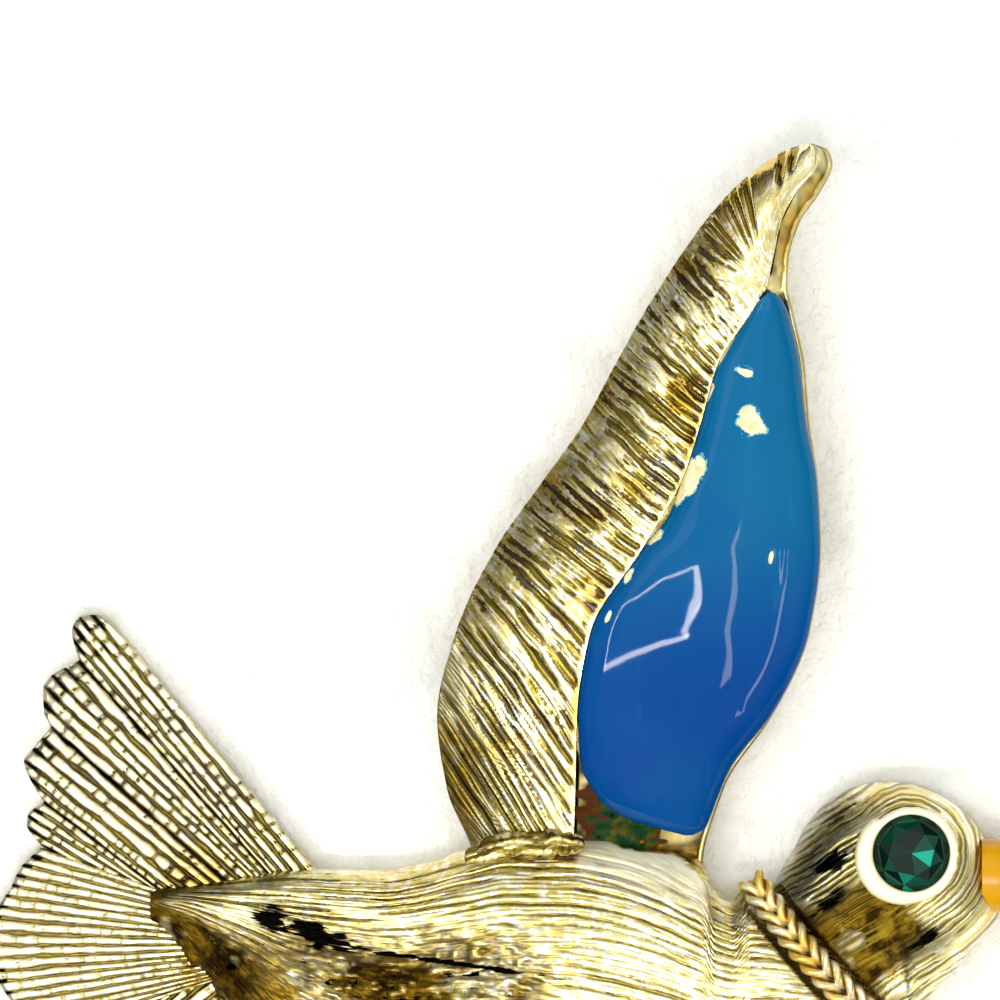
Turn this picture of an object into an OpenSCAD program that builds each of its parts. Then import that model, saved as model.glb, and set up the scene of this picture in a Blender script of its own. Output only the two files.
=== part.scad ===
// Figural bird brooch: a dove in flight, cast in gold-tone metal, with a blue enamelled wing,
// a yellow enamelled beak, a green stone eye, a twisted wire collar and a pin on its back.
// Millimetres. It lies on its back: the back plane is Z = 0, +Z faces the viewer, +X runs
// from the tail to the beak and +Y from the belly to the wing's tip.
// The origin is on the back plane, under the middle of the brooch's outline.

/* [Body] */
// Length of the body, from the rump's corner to the chest under the head
body_len = 38.8; // [34:0.2:44]
// Height of the body, from its shoulder to its belly
body_h = 17.8; // [15:0.2:21]
// How far the body's crest stands above the back plane
body_rise = 6; // [5.2:0.1:7]
// Height of the upright side wall that runs round the body and the head
rim_h = 1.5; // [1:0.1:2]
// Thickness of the wall round the hollow in the back
wall = 1.5; // [1.2:0.1:2]
// Depth of the hollow in the back
hollow_h = 2.8; // [2:0.1:3]
// Depth of the crease between the back's ridge and the flank
crease_h = 1; // [0.4:0.1:1.2]
// Width of that crease
crease_w = 1.5; // [1:0.1:2.4]

/* [Tail] */
// Length of the tail, from the rump to its middle feather's tip
tail_len = 12.3; // [10:0.1:15]
// Spread of the tail, from its top tip to its bottom tip
tail_spread = 33; // [28:0.5:38]
// Thickness of the tail at its root
tail_root_t = 2.2; // [1.8:0.1:2.4]
// Thickness of the tail at its tips
tail_tip_t = 1; // [0.7:0.1:1.4]
// Height of the raised ribs on the feathers
rib_h = 0.3; // [0.2:0.02:0.36]

/* [Wing] */
// Length of the wing above the shoulder
wing_len = 34.7; // [30:0.1:40]
// Width of the wing over its sweep
wing_w = 19.8; // [17:0.1:23]
// How far the wing's ridge stands above the back plane
wing_rise = 6.8; // [6:0.1:8]
// Thickness of the wing's metal
wing_t = 1.4; // [1:0.1:1.6]
// How far the leading strip rolls down to its outer edge
strip_fall = 2.2; // [1.6:0.1:2.6]
// Number of grooves cut across the leading strip
groove_count = 44; // [36:1:54]
// Depth of those grooves
groove_h = 0.16; // [0.08:0.02:0.24]
// Width of the plain rim on each side of the enamel's cell
cell_rim = 0.3; // [0.2:0.05:0.5]

/* [Wing enamel] */
// How far the enamel swells above its cell's rim
enamel_puff = 1.5; // [0.8:0.1:2]
// Gap between the enamel and the metal round it
enamel_gap = 0.08; // [0.05:0.01:0.15]

/* [Head] */
// Radius of the head
head_r = 5.25; // [4.8:0.05:6]
// How far the head's crown stands above the back plane
head_rise = 6.4; // [5.8:0.1:7.4]

/* [Eye] */
// Diameter of the green stone over its girdle
stone_d = 4; // [3.6:0.1:4.4]
// Diameter of the stone's table
table_d = 2.3; // [1.8:0.1:2.6]
// Height of the stone's crown above its girdle
crown_h = 0.8; // [0.6:0.05:1]
// Depth of the stone's pavilion below its girdle
pavilion_h = 1.7; // [1.4:0.05:2]
// Gap between the stone and its setting
stone_gap = 0.06; // [0.04:0.01:0.12]
// Width of the bezel round the stone
bezel_w = 0.5; // [0.35:0.05:0.7]
// How far the bezel stands above the stone's girdle
bezel_h = 0.25; // [0.15:0.05:0.4]

/* [Beak] */
// Length of the beak in front of the head
beak_len = 4.9; // [3.6:0.1:6]
// Height of the beak at its root, across the brooch
beak_h = 3.7; // [3:0.1:4.4]
// Thickness of the beak at its root, front to back
beak_t = 3.4; // [2.8:0.1:4]
// Thickness of the yellow enamel over the cast core
beak_coat = 0.4; // [0.3:0.05:0.6]
// Gap between that enamel and the core
coat_gap = 0.05; // [0.04:0.01:0.1]

/* [Collar] */
// Radius of each of the collar's two twisted wires
strand_r = 0.55; // [0.45:0.05:0.6]
// Distance of each wire's centre from the middle of the twist
strand_off = 0.45; // [0.35:0.05:0.45]
// Number of full turns in the twist
collar_turns = 7; // [5:1:9]
// Height of the twist's middle above the back plane, on the neck
collar_rise = 4.9; // [4.4:0.1:5.6]
// Height of its middle at its two ends
collar_foot = 2.2; // [2:0.1:2.6]
// Gap between the collar and the channel that it lies in
collar_gap = 0.08; // [0.05:0.01:0.15]

/* [Pin back] */
// Length of the bar soldered into the hollow
bar_len = 20; // [16:0.5:21]
// Width of that bar
bar_w = 3.4; // [2.8:0.1:4]
// Thickness of that bar
bar_t = 0.7; // [0.5:0.05:0.8]
// Radius of the pin's stem
stem_r = 0.4; // [0.3:0.05:0.45]
// Height of the stem's axis above the back plane
stem_z = 0.65; // [0.6:0.05:0.8]

/* [Hidden] */

// Smallest step used to keep faces apart or let solids bite into each other
bite = 0.05;

// Body: columns of its table of sections. The share runs along body_len from the rump.
// Edges are shares of body_h from the body's axis, and the rise is a share of body_rise.
TOP_EDGE = 1;
LOW_EDGE = 2;
RISE = 3;
BODY = [
    [0.000, 0.338, 0.262, 0.42],
    [0.019, 0.343, 0.220, 0.50],
    [0.041, 0.346, 0.180, 0.56],
    [0.071, 0.357, 0.098, 0.63],
    [0.116, 0.374, -0.034, 0.72],
    [0.193, 0.396, -0.264, 0.84],
    [0.296, 0.392, -0.371, 0.93],
    [0.361, 0.416, -0.410, 0.97],
    [0.407, 0.452, -0.430, 0.99],
    [0.464, 0.484, -0.452, 1.00],
    [0.541, 0.490, -0.480, 1.00],
    [0.631, 0.472, -0.500, 1.00],
    [0.698, 0.449, -0.494, 0.98],
    [0.714, 0.416, -0.489, 0.98],
    [0.724, 0.348, -0.483, 0.97],
    [0.750, 0.309, -0.469, 0.96],
    [0.774, 0.362, -0.452, 0.95],
    [0.799, 0.350, -0.430, 0.93],
    [0.851, 0.267, -0.371, 0.89],
    [0.902, 0.197, -0.287, 0.82],
    [0.960, 0.100, -0.163, 0.68],
    [1.000, 0.080, 0.000, 0.40],
];
// Share of a section's height, from its top edge, at which its crest lies
crest_at = 0.38;
// Roundness of the body's and the head's sections: 2 is an ellipse
fullness = 2.4;
// Crease: its place as a share of the section's height, and its depth as a share of crease_h
CREASE_AT = 1;
CREASE_DEPTH = 2;
CREASE = [
    [0.00, 0.30, 0.0],
    [0.06, 0.28, 0.3],
    [0.14, 0.26, 1.0],
    [0.32, 0.29, 1.0],
    [0.44, 0.37, 0.4],
    [0.52, 0.41, 0.0],
    [1.00, 0.41, 0.0],
];
// Lip along the shoulder: its radius, its stretch of the body's length, the share of the
// section's height that gives its own height, and its number of beads
lip_r = 0.4;
lip_from = 0.405;
lip_to = 0.695;
lip_v = 0.08;
lip_beads = 9;
body_sections = 38;
body_rows = 12;
// How far the rump's end bulges towards the tail
rump_round = 0.45;
// Stretch of the body's length over which its back is hollow
hollow_from = 0.22;
hollow_to = 0.84;
// Slope of the hollow's inner wall
hollow_draft = 0.4;
hollow_sections = 14;
hollow_rows = 3;

// Places of the other parts, from the rump's corner on the body's axis
tail_at = [0.103 * body_len, 0.183 * body_h];
wing_at = [0.370 * body_len, 0.483 * body_h];
head_at = [0.947 * body_len, 0.343 * body_h];
eye_at = head_at + [0.238 * head_r, 0.343 * head_r];
beak_at = head_at + [1.03 * head_r, 0.114 * head_r];
nape_at = [0.775 * body_len, 0.365 * body_h];
throat_at = [0.965 * body_len, -0.09 * body_h];
pin_at = [0.53 * body_len, -0.03 * body_h];

// Middle of the whole outline, which the origin lies under
outline_mid = [
    (tail_at.x - tail_len + beak_at.x + beak_len) / 2,
    (tail_at.y - tail_spread / 2 + wing_at.y + wing_len) / 2,
];

// Outer feathers of the tail, from the upper edge to the middle feather: root and end of each
// line across the fan, as shares of tail_len (outwards) and of half tail_spread
ROOT_X = 0;
ROOT_Y = 1;
END_X = 2;
END_Y = 3;
FAN = [
    [-0.54, 0.060, 0.482, 0.976],
    [-0.50, 0.060, 0.543, 1.000],
    [-0.43, 0.060, 0.612, 0.994],
    [-0.37, 0.060, 0.645, 0.946],
    [-0.34, 0.060, 0.616, 0.861],
    [-0.30, 0.060, 0.735, 0.810],
    [-0.29, 0.060, 0.763, 0.770],
    [-0.22, 0.060, 0.759, 0.704],
    [-0.18, 0.060, 0.731, 0.659],
    [-0.08, 0.060, 0.808, 0.589],
    [0.02, 0.060, 0.841, 0.553],
    [0.08, 0.060, 0.804, 0.483],
    [0.10, 0.060, 0.759, 0.432],
    [0.11, 0.060, 0.824, 0.393],
    [0.15, 0.060, 0.829, 0.360],
    [0.16, 0.060, 0.771, 0.299],
];
// Feathers of the fan: their first and last rows, and their number of ribs
FIRST = 0;
LAST = 1;
RIBS = 2;
FEATHERS = [
    [0, 4, 5],
    [4, 8, 4],
    [8, 12, 4],
    [12, 15, 3],
];
// Upper half of the broad middle feather, in the same columns, and its number of ribs
MIDDLE = [
    [-0.02, 0.088, 0.771, 0.293],
    [-0.02, 0.076, 0.857, 0.230],
    [-0.02, 0.057, 0.894, 0.172],
    [-0.02, 0.033, 0.939, 0.121],
    [-0.02, 0.000, 1.000, 0.000],
];
middle_ribs = 16;
// Places along a line across the fan, and the share of rib_h that the ribs have there
RIB_RUN = [[0, 0.8], [0.94, 1], [1, 0.2]];
// How far the middle feather lies above the outer ones
middle_lift = 0.3;
// Height of the tail's back above the back plane, at its root and at its tips
root_low = 0.8;
tip_low = 0.05;

// Wing: rise is a share of wing_len above the shoulder. Its left edge, ridge and far edge are
// shares of wing_w, height is a share of wing_rise, the cell's depth is in shares of wing_t,
// and the drop says how far a groove falls on its way from the left edge to the ridge.
LEFT = 1;
RIDGE = 2;
FAR = 3;
HEIGHT = 4;
CELL = 5;
DROP = 6;
WING = [
    [-0.144, 0.098, 0.343, 0.664, 0.62, 1.1, 0.105],
    [-0.035, 0.093, 0.343, 0.672, 0.66, 1.1, 0.105],
    [0.071, 0.025, 0.348, 0.745, 0.76, 0.9, 0.131],
    [0.176, 0.000, 0.352, 0.850, 0.86, 0.7, 0.143],
    [0.298, 0.048, 0.386, 0.940, 0.95, 0.6, 0.117],
    [0.419, 0.149, 0.518, 0.968, 1.00, 0.6, 0.085],
    [0.516, 0.268, 0.616, 0.960, 1.00, 0.6, 0.102],
    [0.595, 0.366, 0.662, 0.939, 1.00, 0.6, 0.104],
    [0.680, 0.447, 0.705, 0.927, 1.00, 0.6, 0.089],
    [0.755, 0.520, 0.788, 0.899, 0.99, 0.5, 0.092],
    [0.794, 0.563, 0.828, 0.884, 0.98, 0.0, 0.095],
    [0.831, 0.604, 0.843, 0.886, 0.97, 0.0, 0.097],
    [0.886, 0.672, 0.864, 0.914, 0.95, 0.0, 0.100],
    [0.929, 0.737, 0.902, 0.965, 0.93, 0.0, 0.100],
    [0.970, 0.821, 0.955, 0.997, 0.90, 0.0, 0.050],
    [0.991, 0.882, 0.952, 0.985, 0.87, 0.0, 0.012],
    [1.000, 0.932, 0.937, 0.944, 0.86, 0.0, 0.000],
];
// Rise at which the strip starts inside the body, and above which its tip is polished plain
strip_from = -0.035;
polished_from = 0.9;
// Places across the strip, from its left edge to its ridge
STRIP = [0, 0.1, 0.35, 0.75, 1];
// How much lower the far edge lies than the ridge
far_fall = 0.9;

// Wing enamel: left and right edges as shares of wing_w, by rise
ENAMEL_LEFT = 1;
ENAMEL_RIGHT = 2;
ENAMEL = [
    [0.004, 0.624, 0.644],
    [0.013, 0.563, 0.675],
    [0.030, 0.475, 0.690],
    [0.055, 0.412, 0.706],
    [0.111, 0.361, 0.745],
    [0.193, 0.354, 0.830],
    [0.256, 0.364, 0.890],
    [0.334, 0.412, 0.925],
    [0.406, 0.503, 0.945],
    [0.471, 0.588, 0.946],
    [0.545, 0.631, 0.935],
    [0.612, 0.669, 0.920],
    [0.676, 0.702, 0.905],
    [0.735, 0.765, 0.890],
    [0.774, 0.813, 0.868],
    [0.785, 0.832, 0.850],
];
enamel_sections = 26;
enamel_rows = 10;

// Head: its outline's reach from its centre, as shares of head_r, by angle from +X
REACH = 1;
HEAD = [
    [-26, 1.03],
    [-12, 1.12],
    [6, 1.10],
    [25, 1.07],
    [41, 1.05],
    [65, 1.02],
    [97, 1.00],
    [120, 0.98],
    [144, 0.94],
    [155, 0.93],
    [166, 0.97],
    [178, 1.04],
    [188, 1.18],
    [229, 1.23],
    [256, 1.39],
    [274, 1.57],
    [280, 1.54],
    [291, 1.14],
    [309, 1.04],
    [322, 1.01],
    [334, 1.03],
];
// How far the head's back lies above the back plane
head_clear = 0.06;
head_sides = 38;
// Turn of a ring of the head, the beak or the collar's channel from one end to the other,
// in degrees, so that no two of their facets lie in one plane
ring_turn = 30;
head_rings = 6;

collar_steps = 70;
collar_sides = 12;
// Sideways bulge of the collar's path, towards the body
collar_bulge = 0.4;

// Share of its length at which the beak's enamel starts, in a seat in the head
beak_from = -0.12;
beak_sections = 8;
beak_sides = 14;

// Slope of a table's column between two rows
function rate(t, c, i) = (t[i + 1][c] - t[i][c]) / (t[i + 1][0] - t[i][0]);

// Slope at a row that never lets a curve swing past its rows
function steady(a, b) = a * b > 0 ? 2 * a * b / (a + b) : 0;

function slope_at(t, c, i) =
    i == 0 ? rate(t, c, 0)
    : i == len(t) - 1 ? rate(t, c, i - 1)
    : steady(rate(t, c, i - 1), rate(t, c, i));

// Row of a table that a share falls in
function row_of(t, s, i = 0) = i >= len(t) - 2 || s <= t[i + 1][0] ? i : row_of(t, s, i + 1);

// Smooth value of a table's column at a share of its first column
function pick(t, c, s) =
    let (
        i = row_of(t, s),
        w = t[i + 1][0] - t[i][0],
        u = min(1, max(0, (s - t[i][0]) / w))
    )
    (1 + 2 * u) * (1 - u) * (1 - u) * t[i][c]
    + u * (1 - u) * (1 - u) * w * slope_at(t, c, i)
    + u * u * (3 - 2 * u) * t[i + 1][c]
    - u * u * (1 - u) * w * slope_at(t, c, i + 1);

function mix(a, b, u) = a + (b - a) * u;

// Height of a rounded section: 1 at its middle, 0 at its edge
function swell(u) = pow(max(0, 1 - pow(min(1, abs(u)), fullness)), 1 / fullness);

// Shares from 0 to 1 that crowd towards both ends
function eased(i, n) = (1 - cos(180 * i / n)) / 2;

// Height of the body's front at a share of its length and of its section
function body_z(s, v) =
    let (
        u = v < crest_at ? (crest_at - v) / crest_at : (v - crest_at) / (1 - crest_at),
        tall = (pick(BODY, TOP_EDGE, s) - pick(BODY, LOW_EDGE, s)) * body_h,
        from_crease = (v - pick(CREASE, CREASE_AT, s)) * tall / crease_w,
        crease = crease_h * pick(CREASE, CREASE_DEPTH, s) * exp(-from_crease * from_crease)
    )
    mix(rim_h, body_rise * pick(BODY, RISE, s), swell(u)) - crease * swell(u);

// Closed solid between two grids of points with as many rows and columns
module plate(top, low) {
    rows = len(top);
    cols = len(top[0]);
    size = rows * cols;
    points = [for (g = [top, low]) for (r = g) for (p = r) p];
    faces = [
        for (i = [0:rows - 2])
        for (j = [0:cols - 2])
        let (a = i * cols + j, b = a + 1, c = a + cols, d = c + 1)
        each [[a, d, b], [a, c, d], [size + a, size + b, size + d], [size + a, size + d, size + c]],
        for (i = [0:rows - 2])
        let (a = i * cols, c = a + cols, b = a + cols - 1, d = b + cols)
        each [[a, size + c, c], [a, size + a, size + c], [b, size + d, size + b], [b, d, size + d]],
        for (j = [0:cols - 2])
        let (a = j, b = j + 1, c = (rows - 1) * cols + j, d = c + 1)
        each [[a, size + b, size + a], [a, b, size + b], [c, size + d, d], [c, size + c, size + d]],
    ];
    polyhedron(points, faces);
}

// Closed solid through rings of points, each end closed to the middle of its ring
module skin(rings) {
    n = len(rings[0]);
    last = (len(rings) - 1) * n;
    middle = len(rings) * n;
    function centre(r) = [for (k = [0:2]) [for (p = r) 1] * [for (p = r) p[k]] / n];
    points = [for (r = rings) for (p = r) p, centre(rings[0]), centre(rings[len(rings) - 1])];
    faces = [
        for (i = [0:len(rings) - 2])
        for (j = [0:n - 1])
        let (k = (j + 1) % n, a = i * n + j, b = i * n + k, c = a + n, d = b + n)
        each [[a, b, d], [a, d, c]],
        for (j = [0:n - 1])
        let (k = (j + 1) % n)
        each [[k, j, middle], [last + j, last + k, middle + 1]],
    ];
    polyhedron(points, faces);
}

// Body: a domed front over a flat back
module body() {
    rows = [
        for (i = [0:body_sections])
        let (s = mix(i / body_sections, eased(i, body_sections), 0.5))
        [s, pick(BODY, TOP_EDGE, s) * body_h, pick(BODY, LOW_EDGE, s) * body_h]
    ];
    front = [
        for (r = rows)
        [
            for (j = [0:body_rows])
            let (v = eased(j, body_rows))
            [r[0] * body_len - (r[0] == 0 ? rump_round * sin(180 * v) : 0), mix(r[1], r[2], v), body_z(r[0], v)]
        ]
    ];
    plate(front, [for (r = front) [for (p = r) [p.x, p.y, 0]]]);
}

// Hollow in the back, with sloping walls that follow the body's outline
module hollow() {
    function row(s, in_y, z) =
        let (top = pick(BODY, TOP_EDGE, s) * body_h - in_y, low = pick(BODY, LOW_EDGE, s) * body_h + in_y)
        [for (j = [0:hollow_rows]) [s * body_len, mix(top, low, j / hollow_rows), z]];
    shares = [for (i = [0:hollow_sections]) i / hollow_sections];
    in_x = hollow_draft / body_len;
    plate(
        [for (u = shares) row(mix(hollow_from + in_x, hollow_to - in_x, u), wall + hollow_draft, hollow_h)],
        [for (u = shares) row(mix(hollow_from, hollow_to, u), wall - bite, -1)]
    );
}

// Head and neck: a dome whose neck runs on into the body
module head() {
    first = HEAD[0][0];
    function reach(a) = pick(HEAD, REACH, a < first ? a + 360 : a);
    function ring(share, z) = [
        for (i = [0:head_sides - 1])
        let (a = first + 360 - 360 * i / head_sides - ring_turn * share, r = reach(a) * head_r * share)
        [r * cos(a), r * sin(a), z]
    ];
    translate([head_at.x, head_at.y, 0])
        skin([
            ring(1, head_clear),
            for (i = [0:head_rings - 1])
            let (share = cos(90 * i / head_rings))
            ring(share, mix(rim_h, head_rise, swell(share)))
        ]);
}

// A point of the tail's front, on a line across the fan at a share of the way to its end
function tail_point(line, u, lift) =
    let (out = mix(line[ROOT_X], line[END_X], u), up = mix(line[ROOT_Y], line[END_Y], u))
    [
        tail_at.x - out * tail_len,
        tail_at.y + up * tail_spread / 2,
        mix(tail_root_t, tail_tip_t, max(0, min(1, out))) + lift
    ];

// Line across the fan between two rows of a table, at a place between their indices
function fan_line(t, at) = let (i = min(floor(at), len(t) - 2)) mix(t[i], t[i + 1], at - i);

// Lines of one feather, with the height of its ribs on each: they rise and fall four lines a rib
function feather_lines(t, f) = [
    for (k = [0:4 * f[RIBS] - 1])
    [fan_line(t, mix(f[FIRST], f[LAST], k / (4 * f[RIBS]))), rib_h * sin(45 * (k % 4))]
];

// Plate of feathers with raised ribs, from the fan's root to its notched outline
module feathers(t, list, lift) {
    lines = [for (f = list) each feather_lines(t, f), [t[len(t) - 1], 0]];
    top = [for (r = lines) [for (u = RIB_RUN) tail_point(r[0], u[0], lift + u[1] * r[1])]];
    low = [for (r = top) [for (j = [0:len(r) - 1]) [r[j].x, r[j].y, mix(root_low, tip_low, RIB_RUN[j][0]) + lift]]];
    plate(top, low);
}

// Tail: two mirrored fans of outer feathers and a broad middle feather over them
module tail() {
    feathers(FAN, FEATHERS, 0);
    translate([0, 2 * tail_at.y, 0]) mirror([0, 1, 0]) feathers(FAN, FEATHERS, 0);
    whole = concat(MIDDLE, [for (i = [len(MIDDLE) - 2:-1:0]) let (m = MIDDLE[i]) [m[0], -m[1], m[2], -m[3]]]);
    feathers(whole, [[0, len(whole) - 1, middle_ribs]], middle_lift);
}

// Lip: the wrinkled edge where the body's shoulder laps over the wing's base
module shoulder_lip() {
    function lip_at(s) = [s * body_len, pick(BODY, TOP_EDGE, s) * body_h - lip_r, body_z(s, lip_v) ];
    for (i = [0:lip_beads - 1]) {
        hull() {
            for (k = [i - 0.1, i + 1.1])
                translate(lip_at(mix(lip_from, lip_to, k / lip_beads)))
                    rotate([0, 0, 17 * i]) sphere(r = lip_r * (1 + 0.15 * sin(140 * i)), $fn = 7);
        }
    }
}

function wing_x(c, rise) = wing_at.x + pick(WING, c, rise) * wing_w;
function wing_y(rise) = wing_at.y + rise * wing_len;
function ridge_z(rise) = pick(WING, HEIGHT, rise) * wing_rise;

// Width of the cell's outer rim, which narrows with the cell
function rim_at(rise) = min(cell_rim, (wing_x(FAR, rise) - wing_x(RIDGE, rise)) / 4);

// Floor of the enamel's cell at a rise and a share of the way from the ridge to the far edge
function cell_z(rise, u) = ridge_z(rise) - pick(WING, CELL, rise) * wing_t - far_fall * u;

// A station across the wing: a groove's line from the left edge up the rolled strip to the
// ridge, then level across the enamel's cell to its thin outer rim
function wing_station(rise, cut) =
    let (
        low = rise - pick(WING, DROP, rise),
        fall = strip_fall * (1 - 0.6 * max(0, rise - 0.6) / 0.4),
        a = [wing_x(LEFT, rise), wing_y(rise), ridge_z(rise) - fall],
        b = [wing_x(RIDGE, low), wing_y(low), ridge_z(low)],
        far = wing_x(FAR, low),
        rim = rim_at(low),
        rim_z = min(b.z - far_fall, cell_z(low, 1) + cell_rim)
    )
    [
        for (u = STRIP)
        [mix(a.x, b.x, u), mix(a.y, b.y, u), mix(a.z, b.z, 1 - pow(1 - u, fullness)) - (u > 0 && u < 1 ? cut : 0)],
        [b.x + bite, b.y, cell_z(low, 0)],
        [(b.x + far) / 2, b.y, cell_z(low, 0.5)],
        [far - rim - bite, b.y, cell_z(low, 1)],
        [far - rim, b.y, rim_z],
        [far, b.y, rim_z],
    ];

// The back of a station: a plain slope under the strip, then parallel to the cell's floor
function wing_back(s) =
    let (
        n = len(STRIP),
        floor_z = s[n].z - 0.6 * wing_t,
        edge_z = s[0].z - 0.4 * wing_t
    )
    [
        for (i = [0:len(s) - 1])
        i < n ? [s[i].x, s[i].y, mix(edge_z, floor_z, STRIP[i])]
        : [s[i].x, s[i].y, min(s[i].z, mix(s[n].z, s[len(s) - 3].z, (i - n) / 2)) - 0.6 * wing_t]
    ];

// Wing: grooved leading strip, polished tip and the cell for the enamel
module wing() {
    steps = 2 * groove_count;
    stations = [
        for (i = [0:steps])
        let (rise = mix(strip_from, 1, i / steps))
        wing_station(rise, rise < polished_from && i % 2 == 1 ? groove_h : 0)
    ];
    plate(stations, [for (s = stations) wing_back(s)]);
}

// Bezel round the eye, and the pocket for the stone
girdle_z = mix(rim_h, head_rise, swell(norm(eye_at - head_at) / head_r)) + 0.1;
module bezel() {
    translate([eye_at.x, eye_at.y, 0]) {
        hull() {
            translate([-bezel_w / 3, -bezel_w / 3, rim_h])
                cylinder(r = stone_d / 2 + bezel_w * 1.2, h = girdle_z - rim_h - bezel_h, $fn = 32);
            translate([0, 0, rim_h]) cylinder(r = stone_d / 2 + bezel_w / 2, h = girdle_z + bezel_h - rim_h, $fn = 32);
        }
    }
}

module stone_pocket() {
    r = stone_d / 2 + stone_gap;
    translate([eye_at.x, eye_at.y, girdle_z - pavilion_h - 2 * stone_gap])
        cylinder(r1 = 0.2, r2 = r, h = pavilion_h, $fn = 32);
    translate([eye_at.x, eye_at.y, girdle_z - 2 * stone_gap - bite])
        cylinder(r = r, h = crown_h + bezel_h + 1, $fn = 32);
}

// Beak: rings from its root to its tip, shrunk by a wall where a coat leaves its core
function beak_rings(less, from) = [
    for (i = [0:beak_sections])
    let (
        u = mix(from, 1, i / beak_sections),
        thin = sqrt(max(0.02, 1 - pow(max(0, u), 1.6))),
        h = max(0.05, beak_h / 2 * thin - less),
        t = max(0.05, beak_t / 2 * thin - less),
        x = beak_at.x + (beak_len - less) * u
    )
    [
        for (k = [0:beak_sides - 1])
        let (a = -360 * k / beak_sides + ring_turn * u)
        [x, beak_at.y + h * cos(a) - 0.3 * u * u, rim_h + beak_t / 2 - 0.4 * u * u + t * sin(a)]
    ]
];

module beak_core() {
    skin(beak_rings(beak_coat + coat_gap, 3 * beak_from));
}

// Path of the collar's middle, from the nape over the neck to the throat
function collar_point(u) =
    let (
        run = throat_at - nape_at,
        side = [run.y, -run.x] / norm(run),
        high = pow(max(0, sin(180 * u)), 0.6)
    )
    [
        mix(nape_at.x, throat_at.x, u) + side.x * collar_bulge * sin(180 * u),
        mix(nape_at.y, throat_at.y, u) + side.y * collar_bulge * sin(180 * u),
        mix(collar_foot, collar_rise, high)
    ];

// Rings along the collar's path: one radius all round, or two strands twisted together
function collar_rings(round_r, steps, sides) = [
    for (i = [0:steps])
    let (
        short = round_r > 0 ? 0 : 0.02,
        u = mix(short, 1 - short, i / steps),
        p = collar_point(u),
        ahead = collar_point(u + 0.01) - collar_point(u - 0.01),
        t = ahead / norm(ahead),
        side = cross(t, [0, 0, 1]) / norm(cross(t, [0, 0, 1])),
        up = cross(side, t),
        turn = round_r > 0 ? ring_turn * u : 360 * collar_turns * u
    )
    [
        for (k = [0:sides - 1])
        let (
            a = 360 * k / sides,
            c = strand_off * abs(cos(a)),
            s = strand_off * sin(a),
            r = round_r > 0 ? round_r : c + sqrt(strand_r * strand_r - s * s)
        )
        p + r * cos(a + turn) * side + r * sin(a + turn) * up
    ]
];

module collar_channel() {
    skin(collar_rings(strand_r + strand_off + collar_gap, 20, 12));
}

// Casting: body, tail, wing and head in one piece, with seats for what is set into it
module bird_casting() {
    color("gold")
        in_frame()
            difference() {
                union() {
                    body();
                    tail();
                    wing();
                    shoulder_lip();
                    difference() {
                        head();
                        skin(beak_rings(-coat_gap, beak_from - coat_gap / beak_len));
                    }
                    bezel();
                    beak_core();
                }
                hollow();
                stone_pocket();
                collar_channel();
            }
}

module wing_enamel() {
    rises = [for (i = [0:enamel_sections]) mix(ENAMEL[0][0], ENAMEL[len(ENAMEL) - 1][0], eased(i, enamel_sections))];
    function left(rise) =
        max(wing_at.x + pick(ENAMEL, ENAMEL_LEFT, rise) * wing_w, wing_x(RIDGE, rise) + bite) + enamel_gap + bite;
    function right(rise) =
        min(wing_at.x + pick(ENAMEL, ENAMEL_RIGHT, rise) * wing_w, wing_x(FAR, rise) - rim_at(rise) - bite)
        - enamel_gap - bite;
    function share(rise, x) = (x - wing_x(RIDGE, rise)) / (wing_x(FAR, rise) - wing_x(RIDGE, rise));
    grid = [
        for (rise = rises)
        [
            for (j = [0:enamel_rows])
            let (
                u = eased(j, enamel_rows),
                x = mix(left(rise), right(rise), u),
                along = (rise - ENAMEL[0][0]) / (ENAMEL[len(ENAMEL) - 1][0] - ENAMEL[0][0]),
                puff = enamel_puff * swell(2 * u - 1) * swell(2 * along - 1)
            )
            [x, wing_y(rise), cell_z(rise, share(rise, x)), puff + far_fall * 0.5 + enamel_gap]
        ]
    ];
    color("royalblue")
        in_frame()
            plate(
                [for (r = grid) [for (p = r) [p.x, p.y, p.z + enamel_gap + p[3]]]],
                [for (r = grid) [for (p = r) [p.x, p.y, p.z + enamel_gap]]]
            );
}

module beak_enamel() {
    color("gold")
        in_frame()
            difference() {
                skin(beak_rings(0, beak_from));
                skin(beak_rings(beak_coat, 3 * beak_from));
            }
}

// Green stone with a table, a crown and a pointed pavilion
module eye_stone() {
    color("seagreen")
        in_frame()
            translate([eye_at.x, eye_at.y, girdle_z])
                hull() {
                    translate([0, 0, crown_h - bite]) cylinder(d = table_d, h = bite, $fn = 8);
                    rotate([0, 0, 22.5])
                        translate([0, 0, crown_h * 0.55])
                            cylinder(d = mix(table_d, stone_d, 0.62), h = bite, $fn = 8);
                    cylinder(d = stone_d, h = bite, $fn = 16);
                    translate([0, 0, -pavilion_h * 0.6]) cylinder(d = stone_d * 0.5, h = bite, $fn = 8);
                    translate([0, 0, -pavilion_h]) cylinder(d = 0.2, h = bite, $fn = 8);
                }
}

module rope_collar() {
    color("goldenrod") in_frame() skin(collar_rings(0, collar_steps, collar_sides));
}

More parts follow.
